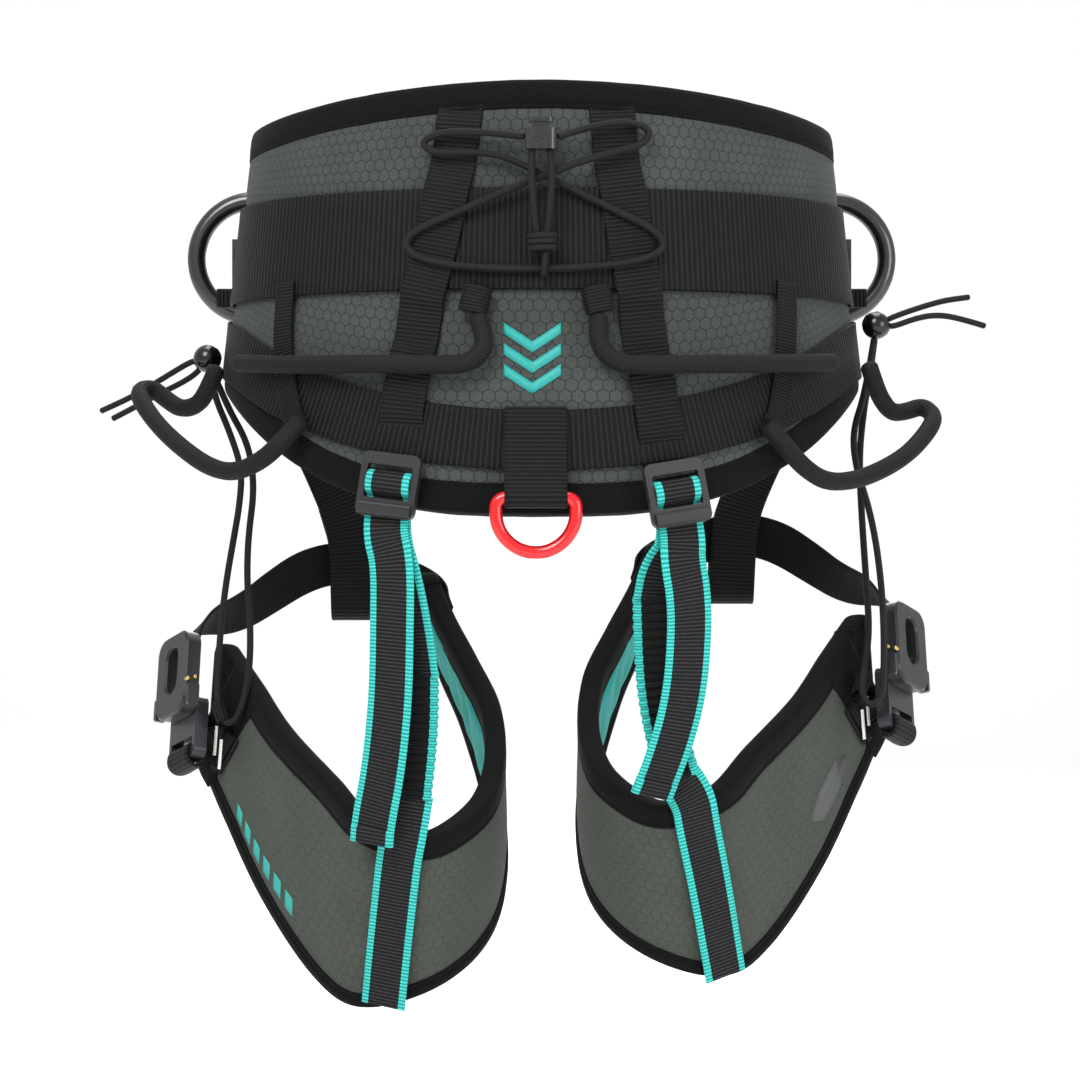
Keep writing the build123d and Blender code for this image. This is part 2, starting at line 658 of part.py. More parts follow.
plate = Pos(0, plate_middle) * RectangleRounded(plate_size[0], plate_size[1], 10)
plate -= Pos(0, plate_middle + 3) * SlotOverall(27, 14, rotation=90)
plate = extrude(plate, plate_size[2])
plate = chamfer(plate.faces().sort_by(Axis.Z)[-1].edges(), 1.2)
frame = Pos(0, frame_middle) * RectangleRounded(frame_size[0], frame_size[1], 5)
frame -= Pos(0, frame_middle - 9) * Rectangle(leg_strap_width + 2 * strap_fit, frame_slot)
frame = Pos(0, 0, -frame_size[2] - gate_gap) * extrude(frame, frame_size[2])
gates = []
for side in (-1, 1):
    x = side * (plate_size[0] / 2 + gate_gap + gate_size[0] / 2)
    gate = Pos(x, gate_y, plate_size[2] / 2) * Box(*gate_size)
    gates.append(fillet(gate.edges().filter_by(Axis.X), 1.5))
left_leg["leg_buckle_plate"] = buckle_at * plate
left_leg["leg_buckle_frame"] = buckle_at * frame
left_leg["leg_buckle_gates"] = buckle_at * Compound(gates)

# Webbing from the frame's slot, sewn flat on the pad's outer end.
sewn_out = leg_binding_thick + 2 * lay + web_thick / 2
tab_places = [(0.25, 0.6, sewn_out + 0.6), (0.6, 0.6, sewn_out), (0.95, 0.585, sewn_out)]
tab_start = buckle_point(0, frame_middle - 11, -frame_size[2] - 2)
tab_route = [tab_start] + [leg_point(*place) for place in tab_places]
tab_sides = [buckle_at.x_dir] + [leg_down(u) * -1 for u, _, _ in tab_places]
left_leg["leg_buckle_tab"] = strap(tab_route, tab_sides, leg_strap_width)

# The leg strap leaves the back of the plate, turns on edge, runs up through its hanger and is sewn to the
# pad's inner end.
strap_route = [
    buckle_point(0, 20, -1.4), buckle_point(0, 38, -1.4), Vector(-194, 28, -207), Vector(-176, 42, -203),
    Vector(-158, 58, -190), Vector(-142, 71, -179), Vector(-126, 79, -174), Vector(-110, 81, -174),
    Vector(-93, 77, -179), leg_point(11, 0.5, sewn_out + 0.4), leg_point(10.5, 0.5, sewn_out),
]
turned = [0, 0, 0.35, 0.7, 0.9, 1, 1, 1, 1, 1, 1]
on_edge = Vector(0.05, 0.1, 1)
strap_sides = [buckle_at.x_dir * (1 - k) + on_edge * k for k in turned]
strap_sides[-2:] = [leg_down(11) * -1, leg_down(10.5) * -1]
left_leg["leg_strap"] = strap(strap_route, strap_sides, leg_strap_width)

# Left and right leg loops. The right one is the left one's mirror image, hung a little higher.
for side, name in ((-1, "_left"), (1, "_right")):
    for node, solid in left_leg.items():
        placed = solid if side < 0 else Pos(0, 0, right_lift) * mirror(solid, about=Plane.YZ)
        parts[node + name] = placed


# ---------------------------------------------------------------- risers, hangers and elastic cords
def leg_place(side, point):
    """A point of the left leg loop, or of the right one."""
    return point if side < 0 else Vector(-point.X, point.Y, point.Z + right_lift)


def threaded(plane, below_back, below_front):
    """A riser: up behind the lock, over its middle bar and down behind its lip, then a loose tail."""
    behind = -1.5 - web_thick - 0.8
    over = lock_thick + 1.3
    up_behind = [(-24, behind), (4.5, behind), (7.3, 0), (5.6, over)]
    down_again = [(-2.6, over), (-4.4, 1), (-7, -1.5), (-24, -1.5)]
    through = [plane.from_local_coords(Vector(0, y, z)) for y, z in up_behind + down_again]
    path = [Vector(*p) for p in reversed(below_back)] + through + [Vector(*p) for p in below_front]
    return strap(path, plane.x_dir, riser_width)


riser_left_back = [(-74, -130, -182), (-68.5, -119, -215), (-66.5, -114, -232.5)]
riser_left_tail = [
    (-78.8, -135, -172), (-79.2, -129.5, -202), (-80.4, -122, -245), (-84.4, -115, -282),
    (-90.4, -109, -312), (-91.2, -107, -322),
]
riser_right_back = [(63, -128, -174), (60, -122.5, -191.5)]
riser_right_tail = [
    (74, -139, -170), (77.5, -134, -190), (78, -130, -213), (75.2, -125, -245),
    (67, -119, -274.5), (58.6, -113, -296),
]
parts["riser_left"] = threaded(lock_left, riser_left_back, riser_left_tail)
parts["riser_right"] = threaded(lock_right, riser_right_back, riser_right_tail)

ruffle_thick = 5.0
ruffle_width = 22.0
elastic_left = [(-66.5, -113.8, -233.4), (-67, -108.5, -264), (-70.3, -104.5, -293.5)]
elastic_right = [(59.7, -122, -193.6), (61, -116, -232), (66, -109, -262), (72.2, -105, -283)]
level = Vector(1, 0, 0)
parts["riser_elastic_left"] = strap([Vector(*p) for p in elastic_left], level, ruffle_width, ruffle_thick)
parts["riser_elastic_right"] = strap([Vector(*p) for p in elastic_right], level, ruffle_width, ruffle_thick)


def sewn_strip(side, top, places):
    """Riser webbing sewn down a leg pad, from its free top end over the upper edge to the lower edge."""
    points = [Vector(*top)] + [leg_place(side, leg_point(u, drop, sewn_out)) for u, drop in places]
    sides = [Vector(1, 0, 0)]
    for u, drop in places:
        out = leg_outward(u)
        run = leg_point(u, min(drop + 0.1, 1.1), 0) - leg_point(u, drop - 0.1, 0)
        across = run.cross(out).normalized()
        across = across if across.X > 0 else across * -1
        sides.append(across if side < 0 else Vector(across.X, -across.Y, -across.Z))
    return strap(points, sides, riser_width)


strip_left = [(4.66, -0.03), (4.6, 0.12), (4.52, 0.5), (4.43, 1.0)]
strip_right = [(4.47, -0.03), (4.42, 0.12), (4.25, 0.5), (4.05, 1.0)]
parts["riser_strip_left"] = sewn_strip(-1, (-70.6, -104.5, -296.5), strip_left)
parts["riser_strip_right"] = sewn_strip(1, (72.8, -105, -286.5), strip_right)


def hanger(side, places):
    """Webbing from the front of the hip webbing, folded into a loop round the leg strap."""
    turned = [1, 1, 0.6, 0.2] + [0] * (len(places) - 4)
    sides = [Vector(1, -side * k, 0) for k in turned]
    return strap([flip(p, side) for p in places], sides, hanger_width)


hanger_top = [on_pad(-124, -42, third_layer + 0.4), on_pad(-124, -68, third_layer + 0.4)]
hanger_left = hanger_top + [
    (-139, 81, -100), (-121, 79, -135), (-113, 73, -158), (-112, 72, -198), (-112, 75, -205),
    (-112, 81, -208), (-112, 86, -205), (-112, 89, -198), (-113, 89, -165), (-121, 86, -138),
]
hanger_right = hanger_top + [
    (-139, 81, -98), (-122, 78.5, -130), (-115, 73, -150), (-113, 72, -188), (-113, 75, -195),
    (-113, 81, -198), (-113, 86, -195), (-113, 89, -188), (-114, 89, -155), (-122, 85.5, -132),
]
parts["leg_hanger_left"] = hanger(-1, hanger_left)
parts["leg_hanger_right"] = hanger(1, hanger_right)

# A bead on each hip gathers the elastic leg cord, whose two ends hang loose beyond it.
bead = 8.0
bead_left = on_pad(-86.4, -57, bead + 5.1)
bead_right = on_pad(86.4, -38, bead + 7.2)
tail_gap = bead + 0.3
# The cords below are laid for beads at these two places, and are drawn over when a bead moves.
bead_laid = {"left": Vector(-190, -9, -57), "right": Vector(190, -9, -38)}
beads = {"left": bead_left, "right": bead_right}
cord_clear = -110.0        # below this height a leg cord hangs clear of the pad
cord_held = -200.0         # from here down its place is the leg loop's


def from_bead(centre, towards):
    """Where a cord leaves a bead, on its way towards a point."""
    return centre + (towards - centre).normalized() * tail_gap


def drawn_over(name, place):
    """A cord's place beside a bead: fully drawn over down to the pad's edge, and not at the leg loop."""
    x, y, z = place
    share = min(1.0, max(0.0, (z - cord_held) / (cord_clear - cord_held)))
    return Vector(x, y, z) + (beads[name] - bead_laid[name]) * share


parts["hip_bead_left"] = Pos(bead_left) * Sphere(bead)
parts["hip_bead_right"] = Pos(bead_right) * Sphere(bead)
leg_cord_left = [
    (-186.5, -7, -78), (-178, -4, -98), (-171, -2, -120), (-172.5, -2, -140), (-176, -2, -160),
    (-180, -4, -184), (-182.5, -7, -208), (-184, -10, -232), (-184, -14, -252), (-179.5, -17, -264),
    (-172.5, -18, -262), (-167.5, -18, -248), (-165, -16, -228), (-165.5, -11, -205), (-168, -5, -183),
    (-168, 3, -158), (-164.5, 5, -130), (-168, 6, -105), (-180, 4, -84),
]
leg_cord_right = [
    (187.5, -5, -62), (184, 0, -85), (181.5, 2, -111), (182.5, 2, -138), (184, 0, -165),
    (185.5, -3, -190), (186, -10, -213), (182.5, -17, -232), (180, -22, -244), (182.5, -24.5, -252),
    (188, -25, -252.5), (192, -25, -245.5), (192.5, -25, -232), (193, -21, -212), (192.5, -15, -188),
    (190, -11, -163), (185.5, -9, -140), (178.5, -8, -119), (176.5, -8, -98), (184, -9, -76),
]
for name, places in (("left", leg_cord_left), ("right", leg_cord_right)):
    route = [drawn_over(name, place) for place in places]
    ends = [from_bead(beads[name], route[0]), from_bead(beads[name], route[-1])]
    points = ends[:1] + route + ends[1:]
    parts["leg_cord_" + name] = tube("leg_cord_" + name, points, leg_cord)

tails = {
    "left": [
        [(-200, -5, -58.5), (-210, -2, -64), (-222, 1, -71), (-236, 3, -79), (-252, 4, -86)],
        [(-197, -2, -65), (-206, 0, -70.5), (-218, 2, -76), (-230, 3, -82.5), (-245, 2, -90.5)],
    ],
    "right": [
        [(200, -7, -33), (211, -6, -29), (222, -5, -25.5), (232, -5, -23), (243, -5, -21.7)],
        [(200.5, -9, -38.5), (211, -9, -34.5), (222, -8, -32), (235, -7, -33), (252, -5, -38)],
    ],
}
for name in ("left", "right"):
    solids = []
    for places in tails[name]:
        route = [drawn_over(name, place) for place in places]
        points = [from_bead(beads[name], route[0])] + route
        solids.append(tube("hip_tail_" + name, points, tail_cord))
    parts["hip_tails_" + name] = Compound(solids)

# ---------------------------------------------------------------- one file for each piece
os.makedirs("parts", exist_ok=True)
for name, solid in parts.items():
    export_step(solid, f"parts/{name}.step")
print(len(parts), "pieces")
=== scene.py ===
# %% [markdown]
# # A climbing harness, dressed around its CAD frame
#
# A tree climber's harness is a padded waist belt with two leg loops hung under it. Nearly all of
# it is soft goods: pads, tape, webbing and cord. The hard pieces are rings and buckles. The CAD
# model already says where every piece is, so this script keeps the hard pieces and gives each
# soft one its real surface. Sizes below are in millimetres until a mesh is made.

# %% Load the frame
import math

import bmesh
import bpy
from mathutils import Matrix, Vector, noise


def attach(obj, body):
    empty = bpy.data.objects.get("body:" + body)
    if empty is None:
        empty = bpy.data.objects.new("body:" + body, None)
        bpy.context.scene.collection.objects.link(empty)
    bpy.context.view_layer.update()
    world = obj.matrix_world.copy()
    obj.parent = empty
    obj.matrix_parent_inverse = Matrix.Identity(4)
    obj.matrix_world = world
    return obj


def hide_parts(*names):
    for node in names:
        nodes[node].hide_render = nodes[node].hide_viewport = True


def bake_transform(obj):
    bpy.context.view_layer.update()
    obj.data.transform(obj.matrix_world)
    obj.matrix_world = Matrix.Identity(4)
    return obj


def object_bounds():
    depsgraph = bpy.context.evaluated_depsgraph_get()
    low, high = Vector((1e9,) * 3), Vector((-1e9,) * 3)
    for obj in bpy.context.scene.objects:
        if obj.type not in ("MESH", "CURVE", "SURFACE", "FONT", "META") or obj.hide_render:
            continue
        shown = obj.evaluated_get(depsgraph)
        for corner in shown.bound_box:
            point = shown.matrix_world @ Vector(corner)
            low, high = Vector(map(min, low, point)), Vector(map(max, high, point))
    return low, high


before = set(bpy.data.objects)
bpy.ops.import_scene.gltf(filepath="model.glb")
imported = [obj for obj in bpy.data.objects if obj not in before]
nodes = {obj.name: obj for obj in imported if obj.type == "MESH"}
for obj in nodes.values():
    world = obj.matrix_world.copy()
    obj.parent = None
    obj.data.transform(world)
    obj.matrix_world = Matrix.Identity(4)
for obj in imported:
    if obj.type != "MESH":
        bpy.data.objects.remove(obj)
cad_box = [list(corner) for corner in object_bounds()]
MM = 0.001
print("pieces in the frame:", len(nodes))

# %% [markdown]
# ## Colours and nodes
#
# Cloth makers give colours as sRGB hex codes, but a shader mixes light in linear values, so one
# function turns the first into the second. Every material below is a short chain of nodes. One
# small function adds a node, sets it and links it, so that each chain reads top to bottom.

# %% Colour and node helpers
def colour(code):
    """An sRGB hex code as linear red, green, blue and alpha."""
    def linear(value):
        return value / 12.92 if value <= 0.04045 else ((value + 0.055) / 1.055) ** 2.4

    return [linear(int(code[i:i + 2], 16) / 255) for i in (1, 3, 5)] + [1.0]


def add(tree, kind, inputs=None, **settings):
    """Adds a node with its settings, or takes one that is there already, and fills its inputs.

    An input is a number, a hex colour, an output, or a node, whose first open output is linked.
    """
    node = kind if isinstance(kind, bpy.types.Node) else tree.nodes.new("ShaderNode" + kind)
    for name, value in settings.items():
        setattr(node, name, value)
    for name, value in (inputs or {}).items():
        if isinstance(value, bpy.types.Node):
            value = next(output for output in value.outputs if output.enabled)
        if isinstance(value, bpy.types.NodeSocket):
            tree.links.new(value, node.inputs[name])
        else:
            node.inputs[name].default_value = colour(value) if isinstance(value, str) else value
    return node


def new_material(name, base, roughness, sockets=None):
    """A material whose plain values sit on the shader's own sockets. Returns it, its tree and shader."""
    made = bpy.data.materials.new(name)
    made.use_nodes = True
    shader = made.node_tree.nodes["Principled BSDF"]
    shader.inputs["Base Color"].default_value = colour(base)
    shader.inputs["Roughness"].default_value = roughness
    for socket, value in (sockets or {}).items():
        shader.inputs[socket].default_value = value
    print("material", name, base, "roughness", roughness)
    return made, made.node_tree, shader


def stripes(tree, place, pitch_mm):
    """A pattern that goes from 0 to 1 and back, once in every pitch."""
    turn = add(tree, "Math", {0: place, 1: 2 * math.pi / pitch_mm}, operation="MULTIPLY")
    wave = add(tree, "Math", {0: turn}, operation="SINE")
    return add(tree, "Math", {0: wave, 1: 0.5, 2: 0.5}, operation="MULTIPLY_ADD")


print("#808080 in linear values:", [round(value, 3) for value in colour("#808080")])

# %% [markdown]
# ## Ripstop polyester
#
# The pads are faced with a heathered grey-green polyester. Its ripstop yarns are woven as small
# hexagons rather than squares, about 6 mm across. A hexagon grid is two overlapping rectangular
# grids: the nearer centre wins, and the distance to it is greatest on the yarn lines. That gives
# the eye dark outlines round cells that stand very slightly proud.

# %% Ripstop material
def ripstop(name, cell_mm, base_dark, base_light, line_colour, line_strength):
    """Heathered polyester with a hexagonal ripstop grid."""
    gloss = {"Sheen Weight": 0.04, "Sheen Roughness": 0.5, "Specular IOR Level": 0.15}
    made, tree, shader = new_material(name, base_light, 0.82, gloss)
    place = add(tree, "UVMap")
    cells = add(tree, "VectorMath", {0: place, 3: 1 / cell_mm}, operation="SCALE")
    half = (0.5, math.sqrt(3) / 2, 0.5)
    shifted = add(tree, "VectorMath", {0: cells, 1: half}, operation="SUBTRACT")
    reaches = []
    for grid in (cells, shifted):
        local = add(tree, "VectorMath", {0: grid, 1: half, 2: [-v for v in half]}, operation="WRAP")
        local = add(tree, "VectorMath", {0: local}, operation="ABSOLUTE")
        flat = add(tree, "VectorMath", {0: local, 1: (1, 0, 0)}, operation="DOT_PRODUCT")
        slant = add(tree, "VectorMath", {0: local, 1: (0.5, half[1], 0)}, operation="DOT_PRODUCT")
        reaches.append(add(tree, "Math", {0: flat, 1: slant}, operation="MAXIMUM"))
    reach = add(tree, "Math", {0: reaches[0], 1: reaches[1]}, operation="MINIMUM")
    wobble = add(tree, "TexNoise", {"Vector": place, "Scale": 0.9, "Detail": 2.0})
    wobble = add(tree, "Math", {0: wobble, 1: 0.06, 2: -0.03}, operation="MULTIPLY_ADD")
    reach = add(tree, "Math", {0: reach, 1: wobble}, operation="ADD")
    line = add(tree, "MapRange", {0: reach, 1: 0.425, 2: 0.475}, interpolation_type="SMOOTHSTEP")
    yarns = add(tree, "TexNoise", {"Vector": place, "Scale": 1.5, "Detail": 3.0, "Roughness": 0.7})
    heather = add(tree, "MapRange", {0: yarns, 1: 0.36, 2: 0.66})
    heather = add(tree, "Math", {0: heather, 1: 0.75}, operation="MULTIPLY")
    drift = add(tree, "TexNoise", {"Vector": place, "Scale": 0.03, "Detail": 1.0})
    tone = add(tree, "Math", {0: drift, 1: 0.4, 2: heather}, operation="MULTIPLY_ADD")
    fabric = add(tree, "Mix", {0: tone, 6: base_dark, 7: base_light}, data_type="RGBA")
    drawn = add(tree, "Math", {0: line, 1: line_strength}, operation="MULTIPLY")
    sunk = add(tree, "Math", {0: line, 1: 0.5}, operation="MULTIPLY")
    height = add(tree, "Math", {0: yarns, 1: 0.45}, operation="MULTIPLY")
    height = add(tree, "Math", {0: height, 1: sunk}, operation="SUBTRACT")
    add(tree, shader, {
        "Base Color": add(tree, "Mix", {0: drawn, 6: fabric, 7: line_colour}, data_type="RGBA"),
        "Normal": add(tree, "Bump", {"Height": height, "Distance": 0.45 * MM, "Strength": 0.8}),
    })
    return made


waist_fabric = ripstop("polyester_ripstop_waist", 5.8, "#222524", "#494e4b", "#151817", 0.55)
leg_fabric = ripstop("polyester_ripstop_leg", 5.8, "#2c2f2b", "#4b4f49", "#252824", 0.25)

# %% [markdown]
# ## Nylon webbing
#
# Webbing is woven flat with thick weft yarns across it, which show as ribs, and its surface is
# slightly shiny nylon. The rib pitch is what tells one width from another: about 3 mm on the wide
# waist webbing, 2.3 mm on the 25 mm straps. The riser webbing also has two turquoise edges. A Wave
# texture could draw ribs, but it has no pitch in millimetres, so a sine of the place along the
# strap does it, and a Bump node raises the same ribs. The crest of each rib is also painted a
# lighter colour, grey on black and pale turquoise on the edges: a painted highlight.

# %% Webbing materials
# dark is the webbing between the ribs; light is the colour painted on the rib crests as highlight.
def webbing_cloth(name, rib_mm, dark="#030304", light="#2c2c2f", edge=None, half_width=0.0, edge_mm=0.0):
    """Ribbed nylon webbing, its rib crests painted lighter as highlight. With edge, a coloured stripe runs
    along both sides, its ribs painted lighter turquoise as highlight.
    """
    gloss = {"Sheen Weight": 0.02, "Sheen Roughness": 0.4, "Specular IOR Level": 0.15}
    made, tree, shader = new_material(name, light, 0.62, gloss)
    surface = add(tree, "UVMap")
    along, across = add(tree, "SeparateXYZ", {0: surface}).outputs[:2]
    fuzz = add(tree, "TexNoise", {"Vector": surface, "Scale": 0.8, "Detail": 3.0})
    wander = add(tree, "Math", {0: fuzz, 1: 0.5, 2: along}, operation="MULTIPLY_ADD")
    rib = stripes(tree, wander, rib_mm)
    yarn = add(tree, "Math", {0: stripes(tree, across, 1.1), 1: 0.35, 2: 0.65}, operation="MULTIPLY_ADD")
    weave = add(tree, "Math", {0: rib, 1: yarn}, operation="MULTIPLY")
    # The rib crests are painted towards the light colour: a painted highlight.
    crest_highlight = add(tree, "Math", {0: weave, 1: 4.0}, operation="POWER")
    speck = add(tree, "Math", {0: fuzz, 1: 1.1, 2: 0.3}, operation="MULTIPLY_ADD")
    tone = add(tree, "Math", {0: crest_highlight, 1: speck}, operation="MULTIPLY")
    shade = add(tree, "Mix", {0: tone, 6: dark, 7: light}, data_type="RGBA")
    if edge:
        side = add(tree, "Math", {0: across}, operation="ABSOLUTE")
        stripe = add(tree, "Math", {0: side, 1: half_width - edge_mm}, operation="GREATER_THAN")
        speck = add(tree, "Math", {0: fuzz, 1: 1.0, 2: 0.35}, operation="MULTIPLY_ADD")
        # On the turquoise edges the ribs are painted pale turquoise: a painted highlight.
        ladder = add(tree, "Math", {0: rib, 1: speck}, operation="MULTIPLY")
        coloured = add(tree, "Mix", {0: ladder, 6: edge[0], 7: edge[1]}, data_type="RGBA")
        shade = add(tree, "Mix", {0: stripe, 6: shade, 7: coloured}, data_type="RGBA")
    raised = add(tree, "Bump", {"Height": weave, "Distance": 0.5 * MM, "Strength": 0.8})
    add(tree, shader, {"Base Color": shade, "Normal": raised})
    return made


waist_webbing_cloth = webbing_cloth("nylon_webbing_wide", 3.0)
strap_cloth = webbing_cloth("nylon_webbing_25", 2.3)
fine_cloth = webbing_cloth("nylon_webbing_fine", 1.8)
smooth_cloth = webbing_cloth("nylon_webbing_soft", 1.3, "#060607", "#161618")
# The edges' own turquoise, and the paler turquoise painted on their ribs as highlight.
turquoise = ("#0b7f7a", "#4ccfc6")
riser_cloth = webbing_cloth("nylon_webbing_turquoise_edges", 2.0, "#0c0c0e", "#4a4a4e", turquoise, 12.5, 3.9)
gather_cloth = webbing_cloth(
    "elastic_webbing_turquoise_edges", 1.6, "#040405", "#1c1c1f", turquoise, 11.0, 4.2,
)

# %% [markdown]
# ## Binding, linings and thread
#
# The pads' edges are bound with a wide, soft knitted tape: matt black, with a fine grain. Inside
# the leg loops a turquoise taffeta lining shows. The waist pad is lined with black spacer mesh,
# whose small round holes let sweat out. Bar tacks are dense zigzags of white polyester thread.
# Real stitches, loops and holes would be thousands of tiny meshes. At this size only their grain
# is seen, so noise, cells and stripes stand for them. The mesh's holes are drawn 3 mm apart, which
# is coarser than most spacer mesh, so that they show.

# %% Tape, lining, mesh and thread materials
def tape_cloth():
    """Knitted nylon binding tape: matt, with a fine lengthwise grain."""
    gloss = {"Sheen Weight": 0.02, "Sheen Roughness": 0.5, "Specular IOR Level": 0.12}
    made, tree, shader = new_material("knitted_binding_tape", "#0a0a0b", 0.9, gloss)
    place = add(tree, "Mapping", {"Vector": add(tree, "UVMap"), "Scale": (0.7, 1.6, 1.0)})
    grain = add(tree, "TexNoise", {"Vector": place, "Scale": 1.0, "Detail": 4.0, "Roughness": 0.65})
    tone = add(tree, "MapRange", {0: grain, 1: 0.35, 2: 0.7})
    add(tree, shader, {
        "Base Color": add(tree, "Mix", {0: tone, 6: "#030304", 7: "#121213"}, data_type="RGBA"),
        "Normal": add(tree, "Bump", {"Height": grain, "Distance": 0.35 * MM, "Strength": 0.7}),
    })
    return made


def taffeta():
    """Turquoise polyester taffeta: smooth and close woven, with a soft shine."""
    gloss = {"Sheen Weight": 0.04, "Specular IOR Level": 0.3}
    made, tree, shader = new_material("turquoise_polyester_taffeta", "#12a39b", 0.6, gloss)
    place = add(tree, "UVMap")
    weave = add(tree, "TexNoise", {"Vector": place, "Scale": 1.4, "Detail": 2.0})
    drift = add(tree, "TexNoise", {"Vector": place, "Scale": 0.05})
    drift = add(tree, "Math", {0: drift, 1: 0.6}, operation="MULTIPLY")
    tone = add(tree, "Math", {0: weave, 1: 0.4, 2: drift}, operation="MULTIPLY_ADD")
    add(tree, shader, {
        "Base Color": add(tree, "Mix", {0: tone, 6: "#04716c", 7: "#10a49c"}, data_type="RGBA"),
        "Normal": add(tree, "Bump", {"Height": weave, "Distance": 0.2 * MM, "Strength": 0.6}),
    })
    return made


def spacer_mesh():
    """Black knitted spacer mesh, with round holes 3 mm apart, painted darker as the shade in their depth."""
    made, tree, shader = new_material("polyester_spacer_mesh", "#151516", 0.85, {"Sheen Weight": 0.2})
    cells = add(tree, "VectorMath", {0: add(tree, "UVMap"), 3: 1 / 3.0}, operation="SCALE")
    hole = add(tree, "TexVoronoi", {"Vector": cells, "Scale": 1.0, "Randomness": 0.12})
    # open_part is 0 in the holes, where the colour is painted near black as painted shade, and 1 on the knit.
    open_part = add(tree, "MapRange", {0: hole, 1: 0.22, 2: 0.36}, interpolation_type="SMOOTHSTEP")
    add(tree, shader, {
        "Base Color": add(tree, "Mix", {0: open_part, 6: "#030303", 7: "#222224"}, data_type="RGBA"),
        "Normal": add(tree, "Bump", {"Height": open_part, "Distance": 0.8 * MM, "Strength": 0.8}),
    })
    return made


def thread(name, dark, light):
    """Polyester sewing thread, laid in close stitches across the tack, painted darker in the gaps between
    stitches as shade.
    """
    made, tree, shader = new_material(name, light, 0.55, {"Sheen Weight": 0.15})
    # The gaps between stitches are painted the darker white: painted shade.
    stitch = stripes(tree, add(tree, "SeparateXYZ", {0: add(tree, "UVMap")}), 0.9)
    add(tree, shader, {
        "Base Color": add(tree, "Mix", {0: stitch, 6: dark, 7: light}, data_type="RGBA"),
        "Normal": add(tree, "Bump", {"Height": stitch, "Distance": 0.3 * MM, "Strength": 0.8}),
    })
    return made


binding_tape = tape_cloth()
leg_lining = taffeta()
waist_lining = spacer_mesh()
white_thread = thread("white_polyester_thread", "#cfcfc8", "#fdfcf6")

# %% [markdown]
# ## Cord sheaths
#
# The lacing and leg cords are elastic shock cord in a black braided polyester sheath, and each
# gear loop is a stiff tube inside the same kind of sheath. A braid shows as two sets of strands
# that cross. The mesh of each cord has shallow lengthwise flutes; the braid goes on top as bump.
# Modelling every strand would look the same from here and take far longer to render.

# %% Braid material
def braid(name, turn_mm, dark, light):
    """A braided polyester sheath, whose strands cross every turn_mm, with their crowns painted lighter as
    highlight.
    """
    gloss = {"Sheen Weight": 0.02, "Sheen Roughness": 0.4, "Specular IOR Level": 0.2}
    made, tree, shader = new_material(name, light, 0.68, gloss)
    surface = add(tree, "UVMap")
    along, around = add(tree, "SeparateXYZ", {0: surface}).outputs[:2]
    leans = [add(tree, "Math", {0: along, 1: around}, operation=way) for way in ("ADD", "SUBTRACT")]
    left, right = [stripes(tree, lean, turn_mm) for lean in leans]
    crossed = add(tree, "Math", {0: left, 1: right}, operation="MAXIMUM")
    fuzz = add(tree, "TexNoise", {"Vector": surface, "Scale": 1.2, "Detail": 3.0})
    speck = add(tree, "Math", {0: fuzz, 1: 0.8, 2: 0.4}, operation="MULTIPLY_ADD")
    # The strand crowns are painted towards the light colour: a painted highlight.
    crest_highlight = add(tree, "Math", {0: crossed, 1: 2.0}, operation="POWER")
    tone = add(tree, "Math", {0: crest_highlight, 1: speck}, operation="MULTIPLY")
    add(tree, shader, {
        "Base Color": add(tree, "Mix", {0: tone, 6: dark, 7: light}, data_type="RGBA"),
        "Normal": add(tree, "Bump", {"Height": crossed, "Distance": 0.3 * MM, "Strength": 0.7}),
    })
    return made


cord_sheath = braid("braided_polyester_cord", 1.6, "#040405", "#1f1f21")
loop_sheath = braid("braided_polyester_tube_sheath", 2.2, "#030304", "#19191b")

# %% [markdown]
# ## Hard finishes
#
# The side and front rings are forged alloy with a glossy black coat, and the rear ring is red
# anodised aluminium: a coloured oxide over metal, so it is metallic with a sharp highlight. The
# buckles are black anodised aluminium with a satin face. Ladder locks, cord lock and beads are
# moulded acetal, which is smooth, with a faint moulding texture, and the buckle pins are turned
# brass. Edges that rub are worn a little lighter; the Pointiness of the mesh finds them. Paint
# masks could mark the worn edges by hand, but Pointiness follows the shape by itself. The grain is
# finer than the eye sees at this distance, and it mostly softens the highlights.

# %% Hard materials
def hard_finish(name, base, worn, roughness, sockets, grain_mm, depth_mm):
    """A moulded or coated surface: even colour, rubbed lighter on its edges, with a fine grain."""
    made, tree, shader = new_material(name, base, roughness, sockets)
    place = add(tree, "TexCoord").outputs["Object"]
    grain = add(tree, "TexNoise", {"Vector": place, "Scale": 1 / (grain_mm * MM), "Detail": 2.0})
    edges = add(tree, "NewGeometry").outputs["Pointiness"]
    rubbed = add(tree, "MapRange", {0: edges, 1: 0.53, 2: 0.62})
    rubbed = add(tree, "Math", {0: rubbed, 1: grain}, operation="MULTIPLY")
    add(tree, shader, {
        "Base Color": add(tree, "Mix", {0: rubbed, 6: base, 7: worn}, data_type="RGBA"),
        "Roughness": add(tree, "Math", {0: grain, 1: 0.12, 2: roughness - 0.06}, operation="MULTIPLY_ADD"),
        "Normal": add(tree, "Bump", {"Height": grain, "Distance": depth_mm * MM, "Strength": 0.4}),
    })
    return made


